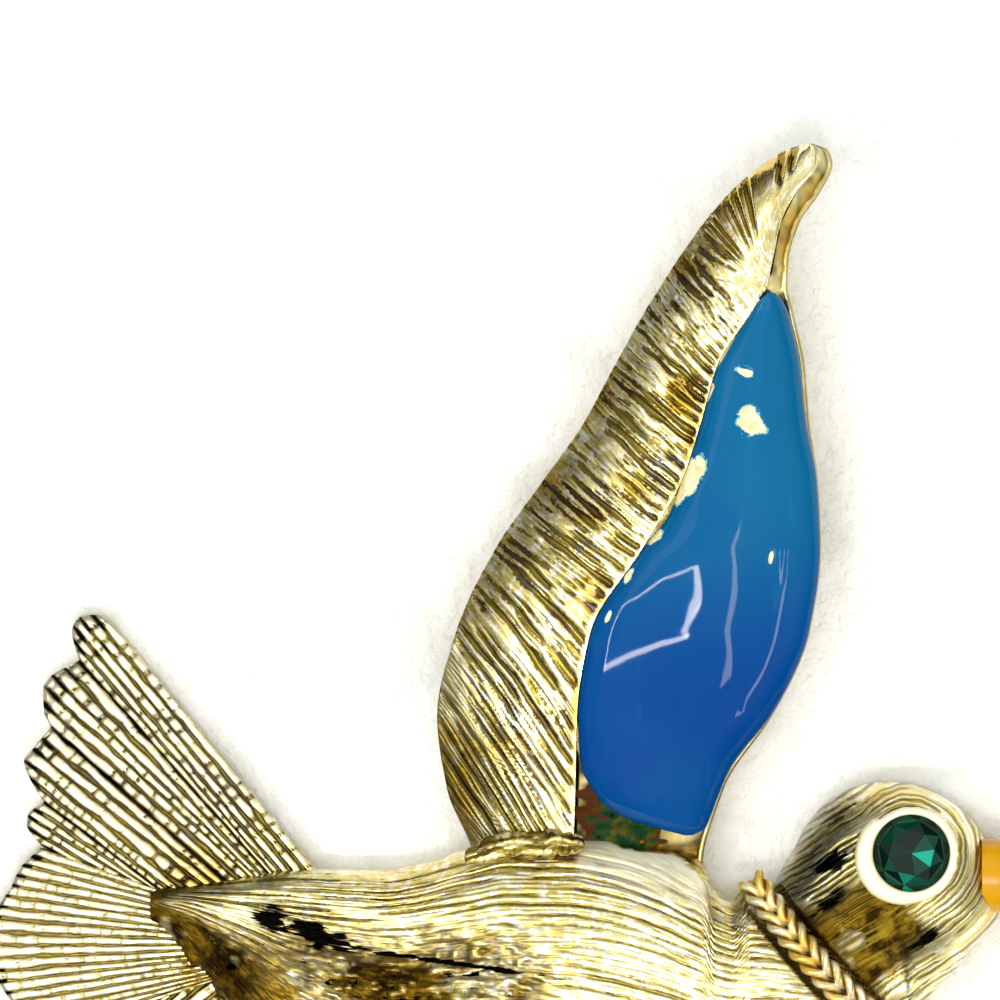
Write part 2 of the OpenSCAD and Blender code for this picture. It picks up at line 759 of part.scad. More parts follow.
// Pin back: a bar with a hinge block, a stem and a catch, in one plain piece
module pin_back() {
    block = [2.6, bar_w, hollow_h - bar_t - 0.1];
    color("silver")
        in_frame()
            translate([pin_at.x, pin_at.y, 0]) {
                translate([-bar_len / 2, -bar_w / 2, hollow_h - bar_t]) cube([bar_len, bar_w, bar_t]);
                translate([-bar_len / 2, -bar_w / 2, 0.1]) cube(block);
                translate([bar_len / 2 - block.x, -bar_w / 2, 0.1]) cube(block);
                translate([-bar_len / 2 + bite, 0, stem_z])
                    rotate([0, 90, 0]) cylinder(r = stem_r, h = bar_len - 2 * bite, $fn = 48);
            }
}

module in_frame() {
    translate([-outline_mid.x, -outline_mid.y, 0]) children();
}

bird_casting();
wing_enamel();
beak_enamel();
eye_stone();
rope_collar();
pin_back();
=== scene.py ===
"""Looks of the figural bird brooch: a gold-tone dove with a blue enamelled wing.

All lengths are millimetres until finish_mesh() turns a mesh into metres, except those of the
camera, the floor and the lamps. The values and tables repeat those of part.scad, so every piece
lies on the solid that it stands for.
"""

import math

import bpy
import numpy as np
from mathutils import Matrix, Vector


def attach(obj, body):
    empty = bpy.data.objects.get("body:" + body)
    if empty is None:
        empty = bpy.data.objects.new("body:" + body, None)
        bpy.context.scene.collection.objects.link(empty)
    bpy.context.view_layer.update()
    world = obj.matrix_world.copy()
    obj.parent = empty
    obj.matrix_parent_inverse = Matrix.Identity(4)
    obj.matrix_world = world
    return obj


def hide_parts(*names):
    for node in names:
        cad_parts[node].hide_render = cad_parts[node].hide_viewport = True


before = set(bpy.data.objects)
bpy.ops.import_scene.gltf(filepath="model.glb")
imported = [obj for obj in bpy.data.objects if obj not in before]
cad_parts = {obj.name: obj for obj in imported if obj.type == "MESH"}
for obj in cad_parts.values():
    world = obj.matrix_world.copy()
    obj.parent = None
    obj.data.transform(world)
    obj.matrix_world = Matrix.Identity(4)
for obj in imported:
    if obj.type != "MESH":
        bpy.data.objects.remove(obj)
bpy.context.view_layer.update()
# Metres in a millimetre
MM = 0.001

# Body
BODY_LEN = 38.8
BODY_H = 17.8
BODY_RISE = 6.0
RIM_H = 1.5
WALL = 1.5
HOLLOW_H = 2.8
CREASE_H = 1.0
CREASE_W = 1.5
# Tail
TAIL_LEN = 12.3
TAIL_SPREAD = 33.0
TAIL_ROOT_T = 2.2
TAIL_TIP_T = 1.0
RIB_H = 0.3
# Wing
WING_LEN = 34.7
WING_W = 19.8
WING_RISE = 6.8
WING_T = 1.4
STRIP_FALL = 2.2
CELL_RIM = 0.3
ENAMEL_PUFF = 1.5
ENAMEL_GAP = 0.08
# Head, eye and beak
HEAD_R = 5.25
HEAD_RISE = 6.4
STONE_D = 4.0
TABLE_D = 2.3
CROWN_H = 0.8
PAVILION_H = 1.7
BEZEL_H = 0.25
BEAK_LEN = 4.9
BEAK_H = 3.7
BEAK_T = 3.4
# Collar
STRAND_R = 0.55
STRAND_OFF = 0.45
COLLAR_RISE = 4.9
COLLAR_FOOT = 2.2
COLLAR_GAP = 0.08

# Sections of the body: share of its length, top edge, low edge, rise
TOP_EDGE, LOW_EDGE, RISE = 1, 2, 3
BODY = [
    (0.0, 0.338, 0.262, 0.42), (0.019, 0.343, 0.22, 0.5), (0.041, 0.346, 0.18, 0.56),
    (0.071, 0.357, 0.098, 0.63), (0.116, 0.374, -0.034, 0.72), (0.193, 0.396, -0.264, 0.84),
    (0.296, 0.392, -0.371, 0.93), (0.361, 0.416, -0.41, 0.97), (0.407, 0.452, -0.43, 0.99),
    (0.464, 0.484, -0.452, 1.0), (0.541, 0.49, -0.48, 1.0), (0.631, 0.472, -0.5, 1.0),
    (0.698, 0.449, -0.494, 0.98), (0.714, 0.416, -0.489, 0.98), (0.724, 0.348, -0.483, 0.97),
    (0.75, 0.309, -0.469, 0.96), (0.774, 0.362, -0.452, 0.95), (0.799, 0.35, -0.43, 0.93),
    (0.851, 0.267, -0.371, 0.89), (0.902, 0.197, -0.287, 0.82), (0.96, 0.1, -0.163, 0.68),
    (1.0, 0.08, 0.0, 0.4),
]
# Upper edge that the body's brushed lines follow: it slopes to the neck ahead of the shoulder
FLOW = [
    (0.0, 0.338), (0.116, 0.374), (0.193, 0.396), (0.296, 0.392), (0.407, 0.452), (0.464, 0.484),
    (0.541, 0.487), (0.6, 0.465), (0.655, 0.418), (0.709, 0.35), (0.75, 0.306), (0.8, 0.285),
    (0.902, 0.197), (1.0, 0.08),
]
# Ragged edge where the body's skin ends under the enamel, by share of the body's length
RAGGED = [
    (0.54, 0.495), (0.552, 0.488), (0.577, 0.49), (0.603, 0.462), (0.64, 0.444), (0.668, 0.44),
    (0.7, 0.395), (0.716, 0.345),
]
# Painted shadow, black, in the crease and on the flank: middle, half length, half width and turn in
# degrees
FOLDS = [
    (6.1, 4.5, 0.95, 0.6, -35),
    (8.4, 3.8, 1.9, 0.55, -20),
    (14.5, 2.5, 5.2, 0.13, -8),
    (4.1, 2.2, 0.26, 0.2, 0),
]
# Share of the way down the body's front where it is highest, and roundness of all sections
CREST_AT = 0.38
FULLNESS = 2.4
# Crease along the body: its place as a share of the way down the front, and its depth
CREASE_AT, CREASE_DEPTH = 1, 2
CREASE = [
    (0.0, 0.3, 0.0), (0.06, 0.28, 0.3), (0.14, 0.26, 1.0), (0.32, 0.29, 1.0), (0.44, 0.37, 0.4),
    (0.52, 0.41, 0.0), (1.0, 0.41, 0.0),
]
HOLLOW_FROM, HOLLOW_TO, HOLLOW_DRAFT = 0.22, 0.84, 0.4
# Lip: radius, stretch of the body's length, and share of the way down the front
LIP_R = 0.4
LIP_FROM, LIP_TO = 0.405, 0.560
LIP_V = 0.08
# Ragged places: how far the rump's edge is torn, how far the ledge lies under the skin, and how
# high the lumps of the rough places stand
RAG_DEPTH = 0.7
LEDGE_DROP = 0.7
LUMP_H = 0.34

# Places of the other parts, from the rump's corner on the body's axis
TAIL_AT = (0.103 * BODY_LEN, 0.183 * BODY_H)
WING_AT = (0.370 * BODY_LEN, 0.483 * BODY_H)
HEAD_AT = (0.947 * BODY_LEN, 0.343 * BODY_H)
EYE_AT = (HEAD_AT[0] + 0.238 * HEAD_R, HEAD_AT[1] + 0.343 * HEAD_R)
BEAK_AT = (HEAD_AT[0] + 1.03 * HEAD_R, HEAD_AT[1] + 0.114 * HEAD_R)
NAPE_AT = (0.775 * BODY_LEN, 0.365 * BODY_H)
THROAT_AT = (0.965 * BODY_LEN, -0.09 * BODY_H)
OUTLINE_MID = (
    (TAIL_AT[0] - TAIL_LEN + BEAK_AT[0] + BEAK_LEN) / 2,
    (TAIL_AT[1] - TAIL_SPREAD / 2 + WING_AT[1] + WING_LEN) / 2,
    0,
)

# Tail: root and end of each line across the fan, as shares of its length and half spread
FAN = [
    (-0.54, 0.06, 0.482, 0.976), (-0.5, 0.06, 0.543, 1.0), (-0.43, 0.06, 0.612, 0.994),
    (-0.37, 0.06, 0.645, 0.946), (-0.34, 0.06, 0.616, 0.861), (-0.3, 0.06, 0.735, 0.81),
    (-0.29, 0.06, 0.763, 0.77), (-0.22, 0.06, 0.759, 0.704), (-0.18, 0.06, 0.731, 0.659),
    (-0.08, 0.06, 0.808, 0.589), (0.02, 0.06, 0.841, 0.553), (0.08, 0.06, 0.804, 0.483),
    (0.1, 0.06, 0.759, 0.432), (0.11, 0.06, 0.824, 0.393), (0.15, 0.06, 0.829, 0.36),
    (0.16, 0.06, 0.771, 0.299),
]
# First row, last row and ribs of each feather of the fan, finer than the CAD's ribs
FEATHERS = [(0, 4, 5), (4, 8, 5), (8, 12, 5), (12, 15, 4)]
MIDDLE = [
    (-0.02, 0.088, 0.771, 0.293), (-0.02, 0.076, 0.857, 0.23), (-0.02, 0.057, 0.894, 0.172),
    (-0.02, 0.033, 0.939, 0.121), (-0.02, 0.0, 1.0, 0.0),
]
MIDDLE_RIBS = 18
MIDDLE_LIFT = 0.3
# Depth of the seams between feathers, and how far the fan's outermost edge rolls down
SEAM_H = 0.15
EDGE_ROLL = 0.5
# Lines that a rib's section is drawn with, and height of the back at the fan's root and end
RIB_LINES = 14
ROOT_LOW, TIP_LOW = 0.8, 0.05

# Wing: rise, left edge, ridge, far edge, height, cell depth and drop of a groove
LEFT, RIDGE, FAR, HEIGHT, CELL, DROP = 1, 2, 3, 4, 5, 6
WING = [
    (-0.144, 0.098, 0.343, 0.664, 0.62, 1.1, 0.105),
    (-0.035, 0.093, 0.343, 0.672, 0.66, 1.1, 0.105),
    (0.071, 0.025, 0.348, 0.745, 0.76, 0.9, 0.131),
    (0.176, 0.0, 0.352, 0.85, 0.86, 0.7, 0.143),
    (0.298, 0.048, 0.386, 0.94, 0.95, 0.6, 0.117),
    (0.419, 0.149, 0.518, 0.968, 1.0, 0.6, 0.085),
    (0.516, 0.268, 0.616, 0.96, 1.0, 0.6, 0.102),
    (0.595, 0.366, 0.662, 0.939, 1.0, 0.6, 0.104),
    (0.68, 0.447, 0.705, 0.927, 1.0, 0.6, 0.089),
    (0.755, 0.52, 0.788, 0.899, 0.99, 0.5, 0.092),
    (0.794, 0.563, 0.828, 0.884, 0.98, 0.0, 0.095),
    (0.831, 0.604, 0.843, 0.886, 0.97, 0.0, 0.097),
    (0.886, 0.672, 0.864, 0.914, 0.95, 0.0, 0.1),
    (0.929, 0.737, 0.902, 0.965, 0.93, 0.0, 0.1),
    (0.97, 0.821, 0.955, 0.997, 0.9, 0.0, 0.05),
    (0.991, 0.882, 0.952, 0.985, 0.87, 0.0, 0.012),
    (1.0, 0.932, 0.937, 0.944, 0.86, 0.0, 0.0),
]
STRIP_FROM = -0.035
FAR_FALL = 0.9
# How much narrower the far rim is near the wing's base, and how deep the strip's end dives
FAR_SLIM = 0.45
STRIP_DIVE = 1.3
# Enamel: rise, left edge and right edge
ENAMEL = [
    (0.004, 0.624, 0.644), (0.013, 0.563, 0.675), (0.03, 0.475, 0.69), (0.055, 0.412, 0.706),
    (0.111, 0.361, 0.745), (0.193, 0.354, 0.83), (0.256, 0.364, 0.89), (0.334, 0.412, 0.925),
    (0.406, 0.503, 0.945), (0.471, 0.588, 0.946), (0.545, 0.631, 0.935), (0.612, 0.669, 0.92),
    (0.676, 0.702, 0.905), (0.735, 0.765, 0.89), (0.774, 0.813, 0.868), (0.785, 0.832, 0.85),
]
# Height of the coat's broad waves and fine ripples, and its thickness
WAVE_H = 0.04
RIPPLE_H = 0.008
COAT_T = 0.09
# Places where it has chipped off: middle on the wing from its own corner, half length, half width
# and turn in degrees
CHIPS = [
    (15.32, 23.27, 0.42, 0.2, -20), (15.65, 20.77, 0.7, 0.55, -50), (12.5, 17.9, 1.3, 0.45, 55),
    (12.55, 20.05, 0.4, 0.16, 60), (13.5, 22.15, 0.5, 0.14, 62), (10.85, 15.05, 0.45, 0.2, 35),
    (9.55, 13.15, 0.38, 0.14, 60), (8.55, 11.1, 0.3, 0.12, 65), (16.65, 14.1, 0.3, 0.1, 80),
    (14.75, 25.0, 1.7, 0.07, 63),
]
# Head: its outline's reach by angle from +X
HEAD = [
    (-26, 1.03), (-12, 1.12), (6, 1.1), (25, 1.07), (41, 1.05), (65, 1.02), (97, 1.0),
    (120, 0.98), (144, 0.94), (155, 0.93), (166, 0.97), (178, 1.04), (188, 1.18), (229, 1.23),
    (256, 1.39), (274, 1.57), (280, 1.54), (291, 1.14), (309, 1.04), (322, 1.01), (334, 1.03),
]
HEAD_CLEAR = 0.06
# Dark places on the head: distance from the eye along the lines and to their side, half length
# and half width
HEAD_DARK = [(4.6, -0.15, 2.2, 0.62), (3.5, -1.75, 2.0, 0.70), (1.9, 4.0, 1.7, 0.5)]
# How far the bezel laps over the stone, and its width round the stone by angle from +X
BEZEL_LAP = 0.08
BEZEL = [
    (0, 0.42), (45, 0.42), (90, 0.38), (132, 0.36), (140, 0.62), (170, 0.82), (205, 0.92),
    (235, 0.86), (270, 0.6), (310, 0.48), (360, 0.42),
]
# Its profile from the seat over the rounded rim down to the head: share of the width, height
BEZEL_PROFILE = [
    (0.02, -0.7), (0.0, 0.0), (0.05, 0.1), (0.2, 0.16), (0.5, 0.18), (0.8, 0.12), (0.95, -0.02),
    (1.02, -0.25), (1.02, -0.8), (0.9, -3.0),
]
# Places of painted reflection on the stone, where its foil flashes, from its middle
FLASHES = [(0.6, -0.15), (-0.2, -1.45)]
COLLAR_BULGE = 0.4
# Cords seen in the collar: their distance from its middle and height over its path, their turns,
# and their wires' radius and distance from the cord's middle
CORD_OFF = 0.38
CORD_LIFT = 0.2
CORD_TURNS = 6.5
WIRE_R = 0.24
WIRE_OFF = 0.2

# Pitch and height of the brushed lines cut into the metal
BODY_LINES = 34
BODY_LINE_H = 0.15
WING_LINES = 72
WING_LINE_H = 0.2
HEAD_PITCH = 0.3
HEAD_LINE_H = 0.1
# Direction in which the head's lines trail from the eye to the neck, in degrees
HEAD_FLOW = 213
# How deep the stone's seat is sunk into the head
SEAT_DROP = 2.0

# In metres: the photograph's middle on the brooch, its width, the camera's distance and half of
# the floor's width
VIEW_MID = (-0.001875, 0.010475, 0.003)
VIEW_WIDTH = 0.05
VIEW_FROM = 1.0
FLOOR_REACH = 1.5
# Width of the camera's sensor in millimetres
SENSOR_W = 36
# Brightness of the tent by height, from below to above
SKY = [(0.0, 0.06), (0.22, 0.10), (0.42, 0.5), (0.62, 1.0), (0.90, 1.05), (1.0, 1.0)]
# Lamps: both ends, width and power. The enamel reflects all but the key lamp as lines: four round
# a window and two strips on the right
WINDOW = [(-0.49, -0.27, 0.83), (0.12, -0.29, 0.95), (-0.01, -0.11, 0.99), (-0.53, 0.11, 0.84)]
LAMPS = {
    "key": ((-0.6, 0.2, 0.8), (-0.3, 0.36, 0.9), 0.3, 0.5),
    "window_left": (WINDOW[0], WINDOW[3], 0.024, 1.3),
    "window_near": (WINDOW[0], WINDOW[1], 0.03, 2.7),
    "window_right": (WINDOW[1], WINDOW[2], 0.024, 0.8),
    "window_far": (WINDOW[2], WINDOW[3], 0.014, 1.0),
    "strip_inner": ((0.22, -0.04, 0.97), (0.35, -0.55, 0.77), 0.03, 0.7),
    "strip_outer": ((0.62, -0.1, 0.78), (0.52, -0.66, 0.54), 0.03, 0.8),
}


# Curves and noise

def mix(a, b, u):
    return a + (b - a) * u


def smooth(low, high, x):
    """Eased step: 0 at low and 1 at high, which may be the lesser of the two."""
    u = np.clip((x - low) / (high - low), 0, 1)
    return u * u * (3 - 2 * u)


def bell(x):
    return np.exp(-x * x)


def eased(n):
    """Shares from 0 to 1 that lie closer at both ends."""
    return (1 - np.cos(np.linspace(0, math.pi, n))) / 2


def swell(u):
    """Height of a rounded section: 1 at its middle, 0 at its edge."""
    return (1 - np.minimum(1, np.abs(u)) ** FULLNESS) ** (1 / FULLNESS)


def pick(table, column, s):
    """Smooth value of a table's column at shares of its first column, as in part.scad."""
    rows = np.asarray(table, float)
    x, y = rows[:, 0], rows[:, column]
    rate = np.diff(y) / np.diff(x)
    before, after = rate[:-1], rate[1:]
    total = np.where(before * after > 0, before + after, 1)
    steady = np.where(before * after > 0, 2 * before * after / total, 0)
    slope = np.concatenate([rate[:1], steady, rate[-1:]])
    i = np.clip(np.searchsorted(x, s, side="right") - 1, 0, len(x) - 2)
    w = x[i + 1] - x[i]
    u = np.clip((s - x[i]) / w, 0, 1)
    rise = (1 + 2 * u) * (1 - u) ** 2 * y[i] + u * (1 - u) ** 2 * w * slope[i]
    return rise + u * u * (3 - 2 * u) * y[i + 1] - u * u * (1 - u) * w * slope[i + 1]


def chance(i, seed):
    """Repeatable value from 0 to 1 for each whole number."""
    return np.modf(np.abs(np.sin(i * 12.9898 + seed * 78.233) * 43758.5453))[0]


def wander(x, y, seed):
    """Smooth noise from 0 to 1 over a plane."""
    x, y = np.broadcast_arrays(np.asarray(x, float), np.asarray(y, float))
    i, j = np.floor(x), np.floor(y)
    u, v = smooth(0, 1, x - i), smooth(0, 1, y - j)
    corner = i + 57 * j
    low = mix(chance(corner, seed), chance(corner + 1, seed), u)
    high = mix(chance(corner + 57, seed), chance(corner + 58, seed), u)
    return mix(low, high, v)


def engraved(q, t, seed, width=0.2):
    """Uneven grooves: q counts them, t runs along them. From 0 on a ridge to 1 in a groove."""
    deep = np.zeros(np.broadcast(q, t).shape)
    for i in (np.floor(q), np.floor(q) + 1):
        sway = 0.3 * (wander(i * 3.73, t * 0.8, seed + 1) - 0.5)
        middle = i + 0.36 * (chance(i, seed) - 0.5) + sway
        depth = smooth(0.18, 0.55, wander(i * 7.31, t, seed + 2)) * (0.55 + 0.45 * chance(i, seed + 3))
        wide = width * (0.55 + 0.9 * wander(i * 5.17, t * 1.9, seed + 4))
        deep = np.maximum(deep, depth * bell((q - middle) / wide))
    return deep


def patch_reach(dx, dy, long, wide, turn):
    """How far out a point is on a long, turned patch: 0 at its middle, 1 at its edge."""
    c, s = math.cos(math.radians(turn)), math.sin(math.radians(turn))
    return np.hypot((dx * c + dy * s) / long, (dy * c - dx * s) / wide)


# Meshes

def grid_of(x, y, z):
    return np.stack(np.broadcast_arrays(x, y, z), -1)


def turned_over(top, low, marks):
    """The same grids with their rows in the other order, so that the front faces up."""
    return top[::-1], low[::-1], {mark: values[::-1] for mark, values in marks.items()}


def skin(name, rings, marks, ends="fan"):
    """Closed piece through rings of points. Its ends are a fan, one flat face or joined."""
    count, n = rings.shape[:2]
    size = count * n
    i, j = np.meshgrid(np.arange(count if ends == "joined" else count - 1), np.arange(n), indexing="ij")
    after, k = (i + 1) % count, (j + 1) % n
    faces = np.stack([i * n + j, i * n + k, after * n + k, after * n + j], -1).reshape(-1, 4)
    # A face's first corner says along which diagonal it is split
    faces = np.roll(faces, -1 if ends == "flat" else 0, 1).tolist()
    points = rings.reshape(-1, 3)
    if ends == "flat":
        faces += [list(range(n - 1, -1, -1)), list(range(size - n, size))]
    if ends == "fan":
        points = np.concatenate([points, rings[:1].mean(1), rings[-1:].mean(1)])
        faces += [[(m + 1) % n, m, size] for m in range(n)]
        faces += [[size - n + m, size - n + (m + 1) % n, size + 1] for m in range(n)]
    return finish_mesh(name, points, faces, marks, (count, n))


def shell(name, top, low, marks):
    """Closed piece between a fine grid of points and a back grid with as many rows."""
    rings = np.concatenate([top[:, ::-1], low], 1)
    back = ((0, 0), (0, low.shape[1]))
    marks = {
        mark: np.pad(np.broadcast_to(values, top.shape[:2])[:, ::-1], back)
        for mark, values in marks.items()
    }
    return skin(name, rings, marks, "flat")


def add_object(name, data):
    made = bpy.data.objects.new(name, data)
    bpy.context.scene.collection.objects.link(made)
    return made


def finish_mesh(name, points, faces, marks, shape):
    """Mesh object in metres, smooth but for its sharp edges, with one attribute a mark."""
    mesh = bpy.data.meshes.new(name)
    mesh.from_pydata(((points - np.array(OUTLINE_MID)) * MM).tolist(), [], faces)
    mesh.validate()
    for mark, values in marks.items():
        column = np.zeros(len(mesh.vertices), np.float32)
        column[: math.prod(shape)] = np.broadcast_to(values, shape).ravel()
        mesh.attributes.new(mark, "FLOAT", "POINT").data.foreach_set("value", column)
    mesh.polygons.foreach_set("use_smooth", np.ones(len(mesh.polygons), bool))
    mesh.set_sharp_from_angle(angle=math.radians(75))
    return add_object(name, mesh)


def place(piece, node, material):
    """Makes a piece stand for a CAD node and material."""
    piece.data.materials.append(material)
    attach(piece, "root")
    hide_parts(node)
    return piece


def cast(piece, material):
    """Places one of the pieces that make up the casting."""
    return place(piece, "bird_casting", material)


# Shared shapes of the casting

def top_edge(s):
    return pick(BODY, TOP_EDGE, s) * BODY_H


def low_edge(s):
    return pick(BODY, LOW_EDGE, s) * BODY_H


def hollow_depth(x, y):
    """How high the hollow in the back reaches over a point: 0 outside it."""
    s = x / BODY_LEN
    ends = np.minimum(x - HOLLOW_FROM * BODY_LEN, HOLLOW_TO * BODY_LEN - x)
    inside = np.minimum(np.minimum(top_edge(s) - WALL - y, y - low_edge(s) - WALL), ends)
    return HOLLOW_H * np.clip(inside / HOLLOW_DRAFT, 0, 1)


def collar_path(u):
    """Middle of the collar, from the nape over the neck to the throat."""
    run = np.subtract(THROAT_AT, NAPE_AT)
    side = np.array([run[1], -run[0]]) / np.hypot(*run)
    bend = COLLAR_BULGE * np.sin(math.pi * u)
    high = np.maximum(0, np.sin(math.pi * u)) ** 0.6
    return grid_of(
        mix(NAPE_AT[0], THROAT_AT[0], u) + side[0] * bend,
        mix(NAPE_AT[1], THROAT_AT[1], u) + side[1] * bend,
        mix(COLLAR_FOOT, COLLAR_RISE, high),
    )


def cut_channel(top):
    """Lowers a front where the collar lies in it. Says how near the collar each point is."""
    radius = STRAND_R + STRAND_OFF + COLLAR_GAP
    near = np.full(top.shape[:2], np.inf)
    height = np.zeros(top.shape[:2])
    for p in collar_path(np.linspace(0, 1, 60)):
        away = np.hypot(top[..., 0] - p[0], top[..., 1] - p[1])
        closer = away < near
        near = np.where(closer, away, near)
        height = np.where(closer, p[2], height)
    floor = height - np.sqrt(np.maximum(0, radius ** 2 - near ** 2))
    top[..., 2] = np.where(near < radius, np.minimum(top[..., 2], floor), top[..., 2])
    return smooth(radius * 1.8, radius, near)


# Body

def body_front(s, v):
    """Height of the body's skin at shares of its length and of the way down its front."""
    tall = top_edge(s) - low_edge(s)
    reach = np.where(v < CREST_AT, (CREST_AT - v) / CREST_AT, (v - CREST_AT) / (1 - CREST_AT))
    dome = swell(reach)
    crease = bell((v - pick(CREASE, CREASE_AT, s)) * tall / CREASE_W) * pick(CREASE, CREASE_DEPTH, s)
    return mix(RIM_H, BODY_RISE * pick(BODY, RISE, s), dome) - CREASE_H * crease * dome


def body_lines(s, x, y):
    """Count of the brushed lines across the body, and 1 on a ridge to 0 in a groove."""
    flow_top = pick(FLOW, 1, s) * BODY_H
    across = (flow_top - y) / (flow_top - low_edge(s))
    bend = 0.6 * wander(x / 6, across * 7, 3) + 0.12 * wander(x / 0.7, across * 34, 4)
    q = BODY_LINES * across + bend
    fine = np.maximum(engraved(q, x / 2.6, 5, 0.17), 0.45 * engraved(2.3 * q, x / 1.1, 15, 0.3))
    broad = engraved(q / 2, x / 2.2, 6)
    return q, 1 - mix(broad, fine, smooth(0.05, 0.28, s))


def body_back(s, x):
    """Back of the body: plane at its rim, with the walls and the floor of the hollow."""
    side = np.array([0, WALL, WALL + HOLLOW_DRAFT])
    inset = np.minimum(side / (top_edge(s) - low_edge(s)), 0.225 * np.arange(3))
    v = np.concatenate([inset, np.full_like(s, 0.5), 1 - inset[:, ::-1]], 1)
    y = mix(top_edge(s), low_edge(s), v)
    return grid_of(x, y, hollow_depth(x, y))


def make_body(material):
    s = np.linspace(0, 1, 230)[:, None]
    v = mix(np.linspace(0, 1, 330), eased(330), 0.3)[None, :]
    x = s * BODY_LEN
    # The rump's low edge is ragged
    rag = smooth(0.80, 0.93, v) * smooth(0.19, 0.15, s) * wander(x / 0.3, 0, 18) ** 2
    y = mix(top_edge(s), low_edge(s), v) - RAG_DEPTH * rag
    q, line = body_lines(s, x, y)
    # A smooth band borders the ragged edge under the enamel; it and the skin just below it get a
    # painted highlight
    torn = 0.16 * (wander(x / 0.3, 0, 9) - 0.5) + 0.08 * (wander(x / 0.1, 0, 10) - 0.5)
    above = y - pick(RAGGED, 1, s) * BODY_H - torn
    here = smooth(0.545, 0.556, s) * smooth(0.724, 0.712, s)
    skin_end = here * smooth(0.05, -0.02, above)
    band = skin_end * smooth(-0.75, -0.45, above)
    line = mix(line, 1, band)
    # The rump's lower flank and the hollow under the crease are rough and brown
    flank = smooth(0.36, 0.05, s) * smooth(0.28, 0.55, v)
    under = smooth(0.12, 0.22, s) * smooth(0.56, 0.45, s) * bell((v - 0.43) / 0.17)
    root = smooth(0.09, 0.02, s + 0.1 * v)
    rough = np.clip(np.maximum(np.maximum(flank, under), root), 0, 1)
    lumps = wander(x / 0.45, y / 0.3, 7) + 0.6 * wander(x / 0.2, y / 0.16, 8)
    edge = np.minimum(smooth(0, 0.03, v), smooth(1, 0.97, v))
    relief = edge * mix(BODY_LINE_H * (line - 0.85), LUMP_H * (lumps - 0.8), rough)
    # Above the ragged edge the skin has gone and a lower ledge shows
    ledge = here * smooth(0, 0.12, above)
    top = grid_of(x, y, body_front(s, v) + relief - LEDGE_DROP * ledge)
    near_collar = cut_channel(top)
    # Painted shadow: the crease's deepest places are painted black
    fold = 0
    for cx, cy, *size in FOLDS:
        fold = np.maximum(fold, 1.2 - 0.55 * patch_reach(x - cx, y - cy, *size))
    fold = np.clip(fold + 0.3 * (wander(x / 0.5, y / 0.2, 16) - 0.5), 0, 1)
    # Lumps stand out bright and pits lie black in the hollow, not on the flank
    deeper = under > flank
    worn = 1 - 0.6 * smooth(1.0, 1.2, lumps) * deeper
    pits = rough * smooth(0.62, 0.42, lumps) * deeper
    streaks = smooth(0.30, 0.12, s) * smooth(0.34, 0.16, v) * wander(x / 1.5, y / 0.4, 17)
    marks = {
        "groove": mix(0.8, 1, smooth(0.25, 0.05, s)) * (1 - line) * (1 - 0.5 * rough),
        "rough": np.maximum(rough * worn, near_collar * 0.4),
        "black_stain_and_shade": np.maximum(fold, 0.8 * pits),
        "warm": np.clip(flank + 0.6 * under + ledge + 0.4 * wander(x / 3, y / 2, 14) ** 2, 0, 1),
        "painted_highlight": np.maximum(band, 0.8 * skin_end * smooth(-2.6, -0.9, above)),
        "soft": smooth(0.30, 0.42, s),
        "shade": 1.1 * streaks,
        "along": x,
        "across": q,
    }
    return cast(shell("dove_body", top, body_back(s, x), marks), material)


def make_lip(material):
    """Wrinkled lip where the shoulder laps over the wing's base."""
    s = np.linspace(LIP_FROM, LIP_TO, 90)[:, None]
    a = np.linspace(0, 2 * math.pi, 33)[None, :-1]
    ends = np.sqrt(swell(2 * (s - LIP_FROM) / (LIP_TO - LIP_FROM) - 1))
    thick = LIP_R * (1.1 + 0.6 * wander(s * 60, 0, 11)) * ends
    folds = 1 + 0.2 * np.sin(5 * a + 4 * wander(s * 40, 1, 12))
    folds = folds + 0.26 * (wander(s * 240, a * 2, 13) - 0.5)
    y = top_edge(s) - LIP_R * 0.9 + thick * folds * np.cos(a)
    z = body_front(s, LIP_V) - 0.1 + 0.8 * thick * folds * np.sin(a)
    marks = {"groove": np.clip((1.1 - folds) * 3, 0, 1), "rough": 0.35, "warm": 0.3}
    return cast(skin("shoulder_lip", grid_of(s * BODY_LEN, y, z)[::-1], marks), material)


# Tail

def beads(reach, rib, seed):
    """Cross cuts that break a rib into rounded beads of uneven length."""
    pitch = 0.45 + 0.6 * chance(rib, seed + 9)
    q = reach / pitch + 7 * chance(rib, seed) + 1.1 * wander(reach / 1.1, rib * 3.7, seed + 1)
    i = np.floor(q)
    whole = 1 - np.abs(2 * (q - i) - 1) ** 4
    return mix(1, whole, smooth(0.25, 0.75, chance(i + 13 * rib, seed + 2)))


